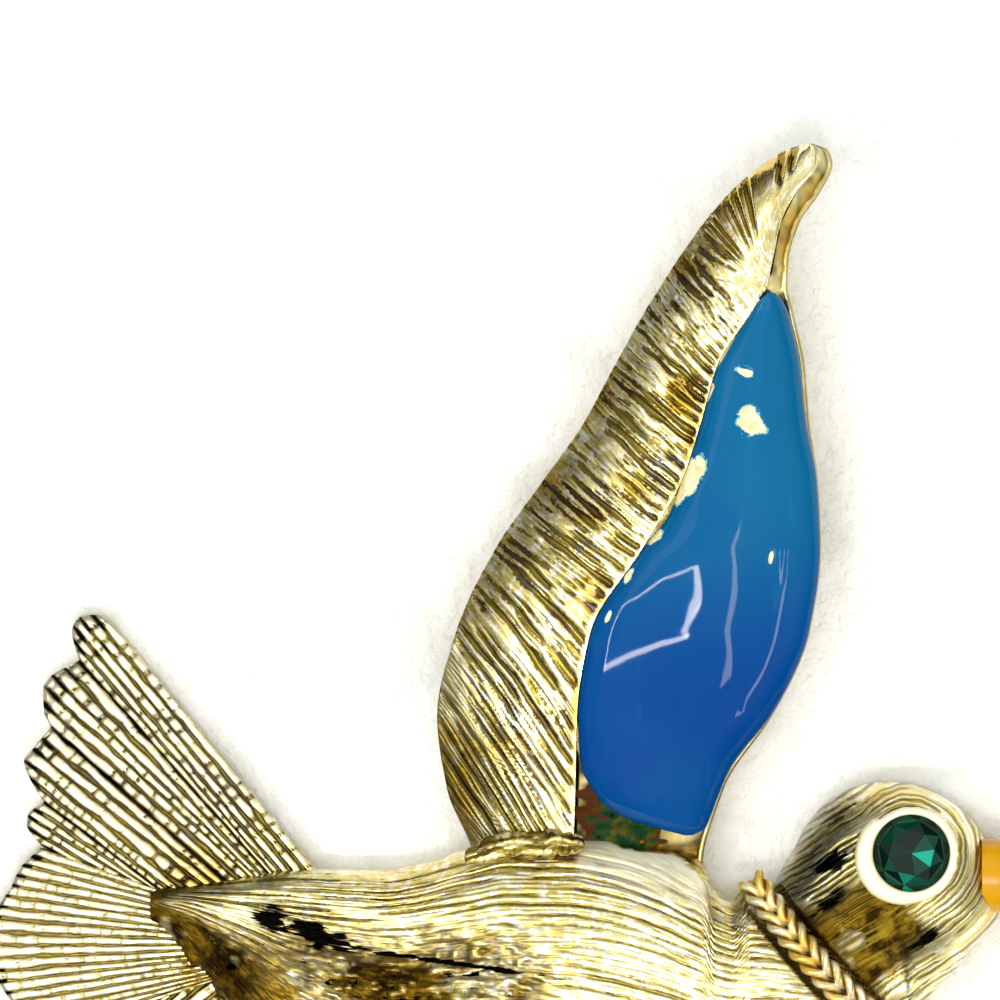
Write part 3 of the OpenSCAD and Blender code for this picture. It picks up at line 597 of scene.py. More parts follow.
def fan_lines(table, feathers):
    """Lines across the fan, as columns: root and end, place in the table, place on the rib,
    the rib's number, ribs to the feather's side, and the feather's middle at its root."""
    fan = []
    for first, last, ribs in feathers:
        rows = [(n, *table[n]) for n in range(first, last + 1)]
        k = np.arange(ribs * RIB_LINES)
        # Ribs are equally wide as seen from the feather's root, so rows are met at equal angles
        out = [(row[3] - rows[0][1]) * TAIL_LEN for row in rows]
        up = [(row[4] - rows[0][2]) * TAIL_SPREAD / 2 for row in rows]
        angles = -np.unwrap(np.arctan2(up, out))
        even = mix(angles[0], angles[-1], k / (len(k) - 1))
        at = np.interp(even, np.maximum.accumulate(angles), range(first, last + 1))
        line = [pick(rows, column, at) for column in (1, 2, 3, 4)]
        place_on_rib = (k % RIB_LINES) / (RIB_LINES - 1)
        rib = 20 * len(fan) + k // RIB_LINES
        to_side = np.minimum(k, len(k) - 1 - k) / RIB_LINES
        hub = [np.full(len(k), column.mean()) for column in line[:2]]
        fan.append(np.stack([*line, at, place_on_rib, rib, to_side, *hub]))
    return np.concatenate(fan, 1)[..., None]


def feather_plate(name, table, feathers, lift, flip, dark, seed, material):
    """Fan of ribbed feathers from its root to its notched outline; dark says how black it is."""
    columns = fan_lines(table, feathers)
    root_out, root_up, end_out, end_up, at, f, rib, to_side, hub_out, hub_up = columns
    several = len(feathers) > 1

    def points(u):
        out, up = mix(root_out, end_out, u), mix(root_up, end_up, u)
        return TAIL_AT[0] - out * TAIL_LEN, TAIL_AT[1] + flip * up * TAIL_SPREAD / 2, out, up

    # A line starts where it leaves the hollow in the back
    probe = np.linspace(0, 0.5, 60)[None, :]
    start = np.where(hollow_depth(*points(probe)[:2]) > 0, probe, 0).max(1)[:, None]
    u = mix(start, 1, np.linspace(0, 1, 160)[None, :])
    x, y, out, up = points(u)
    reach = np.hypot((out - hub_out) * TAIL_LEN, (up - hub_up) * TAIL_SPREAD / 2)
    f = np.clip(f + 0.16 * (wander(reach / 0.9, rib * 2.3, seed) - 0.5), 0, 1)
    wide = 0.64 + 0.34 * wander(reach / 0.6, rib * 5.9, seed + 3)
    cut = mix(1, beads(reach, rib, seed), dark)
    rib_top = np.maximum(0, 1 - np.abs((2 * f - 1) / wide) ** 4) ** 0.5 * cut
    fade = smooth(1, 0.985, u) * smooth(0, 0.03, u)
    seam = bell(to_side / 0.2)
    z = mix(TAIL_ROOT_T, TAIL_TIP_T, np.clip(out, 0, 1)) + lift
    z = z + 0.75 * RIB_H * (rib_top - 0.3) * fade - SEAM_H * seam
    if several:
        # The outermost edge rolls down into a plain side
        z = z - EDGE_ROLL * np.clip(1 - at / 0.3, 0, 1) ** 2
    top = grid_of(x, y, z)
    low_u = mix(start, 1, np.linspace(0, 1, 5)[None, :])
    low = grid_of(*points(low_u)[:2], mix(ROOT_LOW, TIP_LOW, low_u) + lift)
    # The rib tops get a painted highlight. The black at the feathers' ends is partly stain and partly
    # painted shade on their edges; in the seams and deep between the ribs it is painted shade
    tip = smooth(0.93, 0.985, u) * (0.4 + 0.9 * wander(at * 1.3, reach * 0.5, seed + 5))
    plain = smooth(0.34, 0.2, at) * several
    sunk = mix(np.clip(1 - rib_top, 0, 1), 0.45, plain)
    black = tip + 0.8 * smooth(0.982, 0.99, u) + 0.4 * seam + 0.6 * sunk * smooth(0.35, 1.0, u)
    gilt = smooth(0.3, 0.8, wander(x / 2.4, y / 2.4, seed + 7))
    marks = {
        "groove": sunk * dark,
        "rough": 0.25 * sunk * wander(x, y, seed + 6),
        "black_stain_and_shade": np.clip(dark * black * (1 - plain), 0, 1),
        "warm": np.clip((0.8 * smooth(1.0, 0.2, u) + 0.8 * (1 - dark)) * gilt, 0, 1),
        "painted_highlight": 0.5 * rib_top * smooth(0.2, 0.5, u) * (1 - plain),
        "soft": 1.2 * (1 - dark) + plain,
        "shade": 0.75 * smooth(0.4, 0.7, dark) * sunk * (1 - plain),
        "along": reach,
        "across": rib + f,
    }
    sides = (top, low, marks) if flip > 0 else turned_over(top, low, marks)
    return cast(shell(name, *sides), material)


def make_tail(material):
    feather_plate("tail_fan_upper", FAN, FEATHERS, 0, 1, 1, 21, material)
    feather_plate("tail_fan_lower", FAN, FEATHERS, 0, -1, 1, 31, material)
    lower_half = [(m[0], -m[1], m[2], -m[3]) for m in MIDDLE[-2::-1]]
    whole = MIDDLE + lower_half
    feathers = [(0, len(whole) - 1, MIDDLE_RIBS)]
    feather_plate("tail_middle", whole, feathers, MIDDLE_LIFT, 1, 0.6, 41, material)


# Wing

def wing_x(column, rise):
    return WING_AT[0] + pick(WING, column, rise) * WING_W


def wing_y(rise):
    return WING_AT[1] + rise * WING_LEN


def ridge_z(rise):
    return pick(WING, HEIGHT, rise) * WING_RISE


def far_edge(rise):
    """The wing's far edge, a little closer to the enamel at its base than in the CAD."""
    return wing_x(FAR, rise) - FAR_SLIM * bell((rise - 0.09) / 0.07)


def cell_z(rise, u):
    return ridge_z(rise) - pick(WING, CELL, rise) * WING_T - FAR_FALL * u


def rim_z(rise):
    return np.minimum(ridge_z(rise) - FAR_FALL, cell_z(rise, 1) + CELL_RIM)


def strip_left(rise):
    """Left edge of the rolled strip, whose fall from the ridge lessens towards the tip."""
    fall = STRIP_FALL * (1 - 0.6 * np.maximum(0, rise - 0.6) / 0.4)
    return wing_x(LEFT, rise), wing_y(rise), ridge_z(rise) - fall


def strip_lines(rise, u, x, y):
    """Count of the strip's grooves, the tip's share, and 1 on a ridge to 0 in a groove."""
    steep = mix(0.12, 0.01, smooth(0.1, 0.5, rise))
    bend = wander(u * 1.4, rise * 7, 51) + 0.25 * wander(u * 6, rise * 50, 52)
    # The grooves lie further apart near the base
    spread = rise + 0.35 * np.maximum(0, 0.18 - rise)
    q = WING_LINES * (spread + steep * u) + bend
    line = np.maximum(engraved(q, 3 * u, 53, 0.33), 0.6 * engraved(2.2 * q, 6 * u, 57, 0.24))
    # They fade into polished facets on the tip, which spread like a fan from the enamel's point
    tip = smooth(0.84, 0.93, rise + 0.05 * u)
    fan = np.degrees(np.arctan2(y - wing_y(0.79), x - wing_x(RIDGE, 0.80)))
    facet = 0.9 * smooth(0.22, 0.5, engraved(fan / 6, rise * 12, 54, 0.3))
    return q, tip, 1 - mix(line, facet * smooth(0.75, 0.35, u), tip)


def wing_back(rise, under):
    """Back of the wing, with five points a row from the left edge to the far edge."""
    def five(a, b, c):
        return np.concatenate([a, mix(a, b, 0.5), b, mix(b, c, 0.5), c], 1)

    left_x, left_y, left_z = strip_left(rise)
    x = five(left_x, wing_x(RIDGE, under), far_edge(under))
    y = five(left_y, wing_y(under), wing_y(under))
    far_z = np.minimum(rim_z(under), cell_z(under, 1)) - 0.6 * WING_T
    z = five(left_z - 0.4 * WING_T, cell_z(under, 0) - 0.6 * WING_T, far_z)
    # Over the hollow in the body's back it stays above the hollow's floor
    inside = (y < top_edge(x / BODY_LEN) - WALL + 0.1) & (y < WING_AT[1])
    return grid_of(x, y, np.where(inside, np.maximum(z, HOLLOW_H + 0.05), z))


def make_wing(material):
    rise = mix(STRIP_FROM, 1, np.linspace(0, 1, 900))[:, None]
    under = rise - pick(WING, DROP, rise)
    left_x, left_y, left_z = strip_left(rise)
    ridge_x, ridge_y = wing_x(RIDGE, under), wing_y(under)
    u = mix(np.linspace(0, 1, 64), eased(64), 0.4)[None, :]
    x, y = mix(left_x, ridge_x, u), mix(left_y, ridge_y, u)
    q, tip, line = strip_lines(rise, u, x, y)
    inner = smooth(0, 0.06, u) * smooth(1, 0.95, u)
    z = mix(left_z, ridge_z(under), 1 - (1 - u) ** FULLNESS) + inner * WING_LINE_H * (line - 0.8)
    # The strip's end dives under the body's skin below the lip
    below = top_edge(x / BODY_LEN) - y
    z = z - STRIP_DIVE * smooth(0.2, 0.8, below) * smooth(0.4, 0.9, u)
    # The cell's floor and its outer rim
    far, rim = far_edge(under), np.minimum(CELL_RIM, (wing_x(FAR, under) - ridge_x) / 4)
    w = np.linspace(0, 1, 14)[None, :]
    floor_x = mix(ridge_x + 0.05, far - rim - 0.05, w)
    floor_z = cell_z(under, w) + 0.05 * wander(floor_x / 0.3, ridge_y / 0.3, 55)
    rim_x = mix(far - rim, far, np.linspace(0, 1, 4)[None, :])
    round_rim = 0.07 * np.array([0, 1, 0.8, -0.6])[None, :]
    strip, floor = grid_of(x, y, z), grid_of(floor_x, ridge_y, floor_z)
    top = np.concatenate([strip, floor, grid_of(rim_x, ridge_y, rim_z(under) + round_rim)], 1)

    def zoned(on_strip, on_floor=0, on_rim=0):
        zones = zip((on_strip, on_floor, on_rim), (x, floor_x, rim_x))
        return np.concatenate([np.broadcast_to(values, zone.shape) for values, zone in zones], 1)

    stain = wander(x / 2.2, y / 2.2, 56)
    # Painted shade on the strip's rolled left edge, and darker towards the left near the wing's base
    outer = smooth(0.3, 0.1, u) * (1 - tip)
    dim = np.maximum(0.35 * outer, 0.8 * smooth(0.8, 0.3, u) * smooth(0.4, 0.15, rise))
    # Painted shadow where the cell's floor meets the strip: at the wing's base and under the tip's
    # ridge
    tip_floor = smooth(0.78, 0.82, under)
    ridge_shade = tip_floor * smooth(0.97, 0.93, under) * wander(under * 60, 0, 58) ** 0.5
    mottle = 0.9 * wander(floor_x / 0.3, ridge_y / 0.5, 59) ** 2
    dirt = np.maximum(0.8 * smooth(0.16, 0.1, under), mottle * tip_floor)
    gap_shadow = 0.9 * bell(w / 0.05) * smooth(0.2, 0.1, under)
    gap_shadow = np.maximum(gap_shadow, 1.1 * bell(w / 0.22) * ridge_shade)
    torn = w + 0.3 * (wander(floor_x / 0.6, ridge_y / 0.4, 60) - 0.5)
    bare = smooth(0.12, 0.06, under) * smooth(0.68, 0.60, torn) * smooth(-0.1, 0.3, torn)
    gilt = mix(smooth(0.45, 0.95, stain), 0.6 * smooth(0.55, 0.2, u), tip)
    marks = {
        "groove": zoned((1 - line) * smooth(1, 0.95, u) * mix(1, 0.7, smooth(0.3, 0.05, u))),
        "rough": zoned(0.2 * smooth(0.3, 0.02, u) * (1 - tip), dirt, 0.3),
        "black_stain_and_shade": zoned(0.3 * smooth(0.75, 0.95, stain), gap_shadow),
        "warm": zoned(np.clip(gilt, 0, 1), 0.8, 0.3),
        "cell": zoned(0, bare),
        "polish": zoned(tip),
        "shade": zoned(dim, 0.2 * smooth(0.76, 0.80, under), 0.1),
        "along": zoned(u * 8),
        "across": zoned(q),
    }
    return cast(shell("wing_frame", top, wing_back(rise, under), marks), material)


def make_enamel(material):
    first, last = ENAMEL[0][0], ENAMEL[-1][0]
    along = eased(230)[:, None]
    rise = mix(first, last, along)
    ridge = wing_x(RIDGE, rise)
    left = np.maximum(WING_AT[0] + pick(ENAMEL, 1, rise) * WING_W, ridge + 0.02)
    # The enamel laps over the outer rim, which shows only near the wing's tip
    plain = WING_AT[0] + pick(ENAMEL, 2, rise) * WING_W
    over = far_edge(rise) - mix(0.04, 0.24, smooth(0.5, 0.7, rise))
    right = mix(mix(plain, over, smooth(0.03, 0.2, rise)), plain, smooth(0.74, 0.785, rise))

    def surface(u):
        x = mix(left, right, u)
        return x, cell_z(rise, (x - ridge) / (wing_x(FAR, rise) - ridge)) + ENAMEL_GAP

    u = eased(130)[None, :]
    x, base = surface(u)
    y = wing_y(rise)
    # Rounder than the CAD's, so that reflections travel over it
    puff = ENAMEL_PUFF * np.sqrt(1 - (2 * u - 1) ** 2) * swell(2 * along - 1)
    waves = WAVE_H * (wander(x / 5, y / 9, 61) - 0.5)
    waves = waves + RIPPLE_H * (wander(x / 0.8 + y / 4, y / 3, 62) - 0.5)
    # Fine ripples run down the far side
    ripple = RIPPLE_H * np.sin(2 * math.pi * (x / 0.55 + 0.6 * wander(0, y / 5, 64)))
    ripple = ripple * bell((u - 0.84) / 0.08) * smooth(0.3, 0.7, wander(x / 1.5, y / 6, 65))
    ripple = ripple * smooth(0.15, 0.3, along) * smooth(0.8, 0.6, along)
    z = base + puff + FAR_FALL * 0.5 + ENAMEL_GAP + waves * swell(2 * u - 1) + ripple
    chip = 0
    ragged = 0.5 * (wander(x / 0.5, y / 0.5, 63) - 0.5)
    for cx, cy, *size in CHIPS:
        away = patch_reach(x - WING_AT[0] - cx, y - WING_AT[1] - cy, *size) + ragged
        chip = np.maximum(chip, np.clip(1.5 - 0.5 * away, 0, 1.5))
    top = grid_of(x, y, z - COAT_T * smooth(0.9, 1.05, chip))
    low_x, low_z = surface(np.linspace(0, 1, 5)[None, :])
    marks = {"chip": chip, "height": smooth(first, last, rise), "across": x, "along": y}
    # Rows run up the wing and columns from left to right, so the grid is turned over
    sides = turned_over(top, grid_of(low_x, y, low_z), marks)
    return place(shell("wing_enamel_fill", *sides), "wing_enamel", material)


# Head, bezel, stone and beak

# Height of the stone's widest place, a little over the head's skin at the eye
GIRDLE_Z = float(mix(RIM_H, HEAD_RISE, swell(math.dist(EYE_AT, HEAD_AT) / HEAD_R)) + 0.1)


def around(middle, radius, angle):
    turn = np.radians(angle)
    return middle[0] + radius * np.cos(turn), middle[1] + radius * np.sin(turn)


def make_head(material):
    angle = -np.linspace(0, 360, 431)[None, :-1]
    first = HEAD[0][0]
    reach = pick(HEAD, 1, (angle - first) % 360 + first) * HEAD_R
    share = np.cos(np.linspace(0, math.pi / 2, 96)[:-1])[:, None]
    x, y = around(HEAD_AT, reach * share, angle)
    # Lines run round the eye and trail off to the neck, parallel to one direction
    flow_x, flow_y = math.cos(math.radians(HEAD_FLOW)), math.sin(math.radians(HEAD_FLOW))
    dx, dy = x - EYE_AT[0], y - EYE_AT[1]
    trail = np.clip(dx * flow_x + dy * flow_y, 0, None)
    beside = dy * flow_x - dx * flow_y
    away = np.hypot(dx - trail * flow_x, dy - trail * flow_y)
    turn = np.arctan2(dy, dx)
    q = away / HEAD_PITCH + 1.1 * wander(x / 2.5, y / 2.5, 71) + 0.3 * wander(x / 0.5, y / 0.5, 72)
    line = 1 - engraved(q, trail / 1.2 + 1.5 * turn, 73, 0.24)
    z = mix(RIM_H, HEAD_RISE, swell(share)) + HEAD_LINE_H * (line - 0.85) * smooth(1, 0.97, share)
    # The stone's seat is sunk into the head
    z = z - SEAT_DROP * smooth(STONE_D / 2 + 0.3, STONE_D / 2 + 0.1, np.hypot(dx, dy))
    top = grid_of(x, y, z)
    near_collar = cut_channel(top)
    base = grid_of(x[:1], y[:1], np.maximum(HEAD_CLEAR, hollow_depth(x[:1], y[:1]) + 0.05))
    low_neck = smooth(0.6, 2.4, trail) * smooth(-1.2, 0.5, beside) * smooth(5.0, 3.8, beside)
    # Painted shade over the head's upper left, behind the eye
    shade = 0.75 * smooth(-0.2, 2.4, trail) * smooth(0.9, -1.2, beside)
    dark = 0
    for far, off, long, wide in HEAD_DARK:
        dark = dark + bell((trail - far) / long) * bell((beside - off) / wide)

    def ringed(values, foot=1):
        """Values of a mark with one more row for the foot, which is the share of the first row."""
        return np.concatenate([foot * values[:1], values])

    rough = low_neck * (0.9 + 0.5 * wander(x / 0.5, y / 0.5, 74)) + 0.3 * near_collar
    marks = {
        "groove": ringed(1 - line, 0),
        "rough": ringed(np.clip(rough, 0, 1)),
        "black_stain_and_shade": ringed(np.clip(dark * mix(0.6, 1.1, wander(trail / 0.7, q / 1.3, 75)), 0, 1)),
        "warm": ringed(0.6 * low_neck),
        "shade": ringed(np.clip(np.maximum(shade, dark), 0, 1)),
        "soft": ringed(smooth(0.5, 0, np.maximum(shade, low_neck)) * smooth(6.5, 4.5, trail)),
        "along": ringed(trail + turn),
        "across": ringed(q),
    }
    return cast(skin("dove_head", np.concatenate([base, top]), marks), material)


def make_bezel(material):
    angle = -np.linspace(0, 360, 181)[:-1][:, None]
    width = pick(BEZEL, 1, angle % 360) + 0.07 * (wander(angle / 9, 0, 81) - 0.5)
    out, high = (np.array(column)[None, :] for column in zip(*BEZEL_PROFILE))
    x, y = around(EYE_AT, STONE_D / 2 - BEZEL_LAP + width * out, angle)
    dents = 0.03 * (wander(angle / 14, out * 5, 82) - 0.5)
    z = GIRDLE_Z + BEZEL_H + 0.15 + high * (0.6 + 0.5 * width) + dents
    # The whole bezel gets a painted highlight: near-white, with little metal
    return cast(skin("eye_bezel", grid_of(x, y, z), {"painted_highlight": 1.0}, "joined"), material)


def make_stone(material):
    """Round stone: a table, three rows of crown facets and a pavilion, with flat faces."""
    table_r, girdle_r = TABLE_D / 2, STONE_D / 2
    rows = []
    for count, radius, turn, z in [
        (8, table_r, 0, CROWN_H),
        (8, mix(table_r, girdle_r, 0.55), 22.5, CROWN_H * 0.62),
        (16, girdle_r, 0, 0.08),
        (16, girdle_r, 0, 0.0),
        (8, girdle_r * 0.5, 0, -PAVILION_H * 0.6),
    ]:
        a = np.radians(np.arange(count) * 360 / count + turn + 9)
        rows.append(np.stack([radius * np.cos(a), radius * np.sin(a), np.full(count, z)], -1))
    points = np.concatenate(rows + [np.array([[0, 0, CROWN_H], [0, 0, -PAVILION_H]])])
    # First corner of the table, crown, both rims of the girdle and pavilion, and both middles
    t, c, g, b, p, mid, culet = 0, 8, 16, 32, 48, 56, 57
    faces = []
    for i in range(8):
        j, g0, g1, g2 = (i + 1) % 8, g + 2 * i, g + 2 * i + 1, g + (2 * i + 2) % 16
        b0, b1, b2 = g0 - g + b, g1 - g + b, g2 - g + b
        faces += [[mid, t + i, t + j], [t + i, c + i, t + j], [t + j, c + i, c + j]]
        faces += [[c + i, g0, g1], [c + i, g1, g2], [c + i, g2, c + j]]
        faces += [[b0, p + i, b1], [b1, p + i, p + j], [b1, p + j, b2], [p + i, culet, p + j]]
    faces += [[g + i, b + i, b + (i + 1) % 16, g + (i + 1) % 16] for i in range(16)]
    points = points + np.array([EYE_AT[0], EYE_AT[1], GIRDLE_Z])
    piece = finish_mesh("eye_gem", points, faces, {}, (0, 0))
    piece.data.polygons.foreach_set("use_smooth", np.zeros(len(piece.data.polygons), bool))
    # Painted reflections of the foil behind the stone: each face gets a random brightness, and two
    # spots flash brightest
    bright = []
    for n, face in enumerate(piece.data.polygons):
        x = face.center.x / MM + OUTLINE_MID[0] - EYE_AT[0]
        y = face.center.y / MM + OUTLINE_MID[1] - EYE_AT[1]
        spot = max(bell(math.dist((x, y), flash) / 0.4) for flash in FLASHES)
        bright.append(0.45 * float(chance(n, 91)) + spot)
    piece.data.attributes.new("flash", "FLOAT", "FACE").data.foreach_set("value", bright)
    return place(piece, "eye_stone", material)


def make_beak(material):
    u = np.concatenate([np.linspace(-0.12, 0.8, 40), mix(0.8, 1, eased(16)[1:])])[:, None]
    a = -np.linspace(0, 2 * math.pi, 57)[None, :-1]
    thin = np.sqrt(np.maximum(0.02, 1 - np.maximum(0, u) ** 1.6))
    seam = 0.06 * bell((np.abs(np.sin(a / 2 + 0.2)) - 0.02) / 0.05)
    x = BEAK_AT[0] + BEAK_LEN * u
    y = BEAK_AT[1] + BEAK_H / 2 * thin * np.cos(a) - 0.3 * u * u
    z = RIM_H + BEAK_T / 2 - 0.4 * u * u + BEAK_T / 2 * thin * np.sin(a) * (1 - seam)
    return place(skin("beak_coat", grid_of(x, y, z), {}), "beak_enamel", material)


def make_collar(material):
    """Two thin cords side by side, each of two wires, in the room of the CAD's twist."""
    u = mix(0.02, 0.98, np.linspace(0, 1, 420))[:, None]
    path = collar_path(u)
    ahead = collar_path(u + 0.01) - collar_path(u - 0.01)
    ahead = ahead / np.linalg.norm(ahead, axis=2, keepdims=True)
    side = np.cross(ahead, [0, 0, 1])
    side = side / np.linalg.norm(side, axis=2, keepdims=True)
    up = np.cross(side, ahead)
    a = np.linspace(0, 2 * math.pi, 23)[None, :-1]
    for cord, way in ((1, 1), (2, -1)):
        for wire in (0, 1):
            turn = way * 2 * math.pi * (CORD_TURNS * u + wire / 2)
            thick = WIRE_R * (1 + 0.08 * (wander(u * 60, a * 2, 95 + wire + 2 * cord) - 0.5))
            right = WIRE_OFF * np.cos(turn) + thick * np.cos(a + turn)
            high = WIRE_OFF * np.sin(turn) + thick * np.sin(a + turn)
            rings = path + (way * CORD_OFF + right)[..., None] * side
            rings = rings + (high + CORD_LIFT)[..., None] * up
            marks = {"groove": smooth(0.75, 0.45, np.hypot(right, high) / (WIRE_R + WIRE_OFF))}
            name = f"collar_cord_{cord}_wire_{wire + 1}"
            place(skin(name, rings, marks), "rope_collar", material)


# Materials

def tint(code):
    """Linear colour of a hex code."""
    parts = [(code >> shift & 255) / 255 for shift in (16, 8, 0)]
    return tuple(c / 12.92 if c < 0.04045 else ((c + 0.055) / 1.055) ** 2.4 for c in parts) + (1,)


class Recipe:
    """Node tree of a material or a world, built from short calls."""

    def __init__(self, owner, colour=0, end="Principled BSDF", space="Object"):
        owner.use_nodes = True
        self.owner = owner
        self.tree = owner.node_tree
        self.end = self.tree.nodes[end]
        self.where = self.node("ShaderNodeTexCoord", {}).outputs[space]
        self.colour = colour

    def feed(self, node, values):
        """Sets sockets of a node, or links them where the value is another node's socket."""
        for key, value in values.items():
            if isinstance(value, bpy.types.NodeSocket):
                self.tree.links.new(value, node.inputs[key])
            else:
                node.inputs[key].default_value = value

    def node(self, kind, values, **settings):
        made = self.tree.nodes.new(kind)
        for key, value in settings.items():
            setattr(made, key, value)
        self.feed(made, values)
        return made

    def mark(self, name):
        return self.node("ShaderNodeAttribute", {}, attribute_name=name).outputs["Fac"]

    def noise(self, scale, detail=3.0, vector=None, roughness=0.55):
        values = {"Scale": scale, "Detail": detail, "Roughness": roughness}
        values["Vector"] = self.where if vector is None else vector
        return self.node("ShaderNodeTexNoise", values).outputs["Fac"]

    def times(self, a, b):
        return self.node("ShaderNodeMath", {0: a, 1: b}, operation="MULTIPLY").outputs[0]

    def plus(self, a, b):
        return self.node("ShaderNodeMath", {0: a, 1: b}, operation="ADD").outputs[0]

    def span(self, value, low, high, start=0.0, end=1.0, ease="SMOOTHSTEP"):
        """Value carried from low and high over to start and end, and held there beyond them."""
        values = {"Value": value, "From Min": low, "From Max": high, "To Min": start, "To Max": end}
        return self.node("ShaderNodeMapRange", values, interpolation_type=ease).outputs["Result"]

    def sway(self, noise, by):
        return self.span(noise, 0.3, 0.7, -by, by)

    def blend(self, a, b, share):
        """Mix of two colours, each a hex code or a socket."""
        a, b = (tint(c) if isinstance(c, int) else c for c in (a, b))
        return self.node("ShaderNodeMix", {"Factor": share, 6: a, 7: b}, data_type="RGBA").outputs[2]

    def paint(self, colour, share):
        """Lays another colour over the material's own."""
        self.colour = self.blend(self.colour, colour, share)

    def flow(self, across, along):
        """Vector that follows a piece's own lines, so noise stretches along them."""
        values = {0: self.times(self.mark("across"), across), 1: self.times(self.mark("along"), along)}
        return self.node("ShaderNodeCombineXYZ", values).outputs[0]

    def bump(self, height, strength, distance):
        values = {"Strength": strength, "Distance": distance, "Height": height}
        self.set(Normal=self.node("ShaderNodeBump", values).outputs["Normal"])

    def set(self, **values):
        """Feeds the last node, and hands over the material or world."""
        self.feed(self.end, {key.replace("_", " "): value for key, value in values.items()})
        return self.owner

    def coat(self, **values):
        return self.set(Base_Color=self.colour, **values)


def recipe(name, colour):
    return Recipe(bpy.data.materials.new(name), colour)


def gold_casting():
    r = recipe("cast_gold", 0xF4E8A8)
    grain = r.noise(900, 4)
    patch = r.noise(260)
    tinge = r.noise(420, 2)
    streak = r.noise(1.0, 3, r.flow(2.6, 0.7))
    painted_glint = r.noise(1.0, 2, r.flow(1.1, 1.6))
    torn = r.noise(4200, 2)
    jagged = r.plus(r.sway(streak, 0.12), r.sway(torn, 0.11))
    groove = r.span(r.plus(r.mark("groove"), jagged), 0.28, 0.44)
    # Cream on the ridges, with near-white blobs as painted highlights and a warmer or greener tinge
    r.paint(0xE0CC7C, r.span(patch, 0.38, 0.68))
    r.paint(0xFFFCE4, r.span(r.plus(painted_glint, r.sway(torn, 0.05)), 0.50, 0.58))
    r.paint(0xCDA42E, r.times(r.mark("warm"), r.span(tinge, 0.40, 0.56)))
    unpolished = r.span(r.mark("polish"), 0, 1, 1, 0.1)
    r.paint(0x9C8C40, r.times(r.span(streak, 0.50, 0.66, 0.0, 0.7), unpolished))
    # Brown skin in the rough places, olive to dark brown in the grooves, dark olive painted shade, and
    # black for stains and for painted shadow in the folds
    rust = r.blend(0x6E5412, 0x2C1E08, r.span(grain, 0.42, 0.60))
    r.paint(rust, r.times(r.mark("rough"), r.span(tinge, 0.30, 0.48, 0.5, 1.15)))
    deep = r.blend(0x7C6A1C, 0x46300C, r.span(tinge, 0.44, 0.60))
    deep = r.blend(deep, 0x4A3A38, r.span(patch, 0.56, 0.66))
    deep = r.blend(deep, 0x9C8840, r.times(r.mark("soft"), 0.85))
    deep = r.blend(deep, 0xA08428, r.times(r.mark("polish"), 0.8))
    r.paint(deep, r.times(groove, 0.95))
    # Painted shade: dark olive on the head's upper left and the wing's rolled edge, and a darker tone
    # on the body's upper left and in the tail's grooves
    r.paint(0x37361F, r.times(r.mark("shade"), r.span(streak, 0.34, 0.56, 1.0, 0.65)))
    # Black for stains and for painted shadow in the crease, the wing's gaps and the tail's seams
    r.paint(0x060504, r.span(r.plus(r.mark("black_stain_and_shade"), r.sway(streak, 0.2)), 0.62, 0.74))
    # Green and red-brown crust on the bare floor of the cell
    spots = r.noise(1400, 4)
    crust = r.blend(0x4A4416, 0x17381F, r.span(spots, 0.36, 0.52))
    crust = r.blend(crust, 0x0A1008, r.span(spots, 0.58, 0.70))
    crust = r.blend(0x4A2A14, crust, r.span(r.mark("cell"), 0.45, 0.80))
    r.paint(crust, r.span(r.mark("cell"), 0.1, 0.3))
    # Painted highlight: near-white, with less metal, on the bezel, the rib tops and the band under the
    # enamel
    painted_highlight = r.mark("painted_highlight")
    r.paint(0xFFF6D0, r.times(painted_highlight, 0.9))
    dull = r.plus(r.span(grain, 0.3, 0.75, 0.26, 0.42), r.times(r.mark("rough"), 0.2))
    dull = r.plus(dull, r.times(r.mark("polish"), -0.16))
    r.bump(r.plus(streak, r.times(grain, 0.6)), 0.5, 0.00006)
    return r.coat(Roughness=dull, Metallic=r.plus(1.0, r.times(painted_highlight, -0.8)))


def wire_gold():
    r = recipe("wire_gold", 0xFFF6CC)
    patch = r.noise(700)
    r.paint(0xF0CC60, r.span(patch, 0.42, 0.62))
    r.paint(0x946C14, r.mark("groove"))
    r.bump(patch, 0.3, 0.00005)
    return r.coat(Roughness=r.span(patch, 0.3, 0.7, 0.28, 0.42), Metallic=0.65)


def blue_enamel():
    r = recipe("blue_enamel", 0x003F86)
    cloud = r.noise(120)
    torn = r.noise(2200)
    veil = r.noise(1.0, 2, r.flow(0.8, 0.13))
    r.paint(0x08628F, r.span(r.mark("height"), 0.15, 0.75))
    r.paint(0x00508A, r.span(cloud, 0.4, 0.7, 0.0, 0.5))
    r.paint(0x2F8FB0, r.span(veil, 0.60, 0.80, 0.0, 0.35))
    # Chips bare the pale metal, with a light blue edge
    chip = r.plus(r.mark("chip"), r.sway(torn, 0.12))
    r.paint(0x6FAEB8, r.span(chip, 0.90, 0.94))
    chip = r.span(chip, 0.96, 1.0)
    r.paint(r.blend(0xF6E9BC, 0xD8C88E, r.span(torn, 0.5, 0.7)), chip)
    r.bump(cloud, 0.10, 0.0002)
    dull = r.plus(r.span(cloud, 0.3, 0.7, 0.03, 0.06), r.times(chip, 0.5))
    return r.coat(Roughness=dull, Specular_IOR_Level=0.13)


def yellow_enamel():
    r = recipe("yellow_enamel", 0xD29C00)
    cloud = r.noise(300)
    r.paint(0xC88C00, r.span(cloud, 0.4, 0.8))
    r.bump(cloud, 0.15, 0.0002)
    return r.coat(Roughness=r.span(cloud, 0.3, 0.7, 0.12, 0.24), Specular_IOR_Level=0.3)


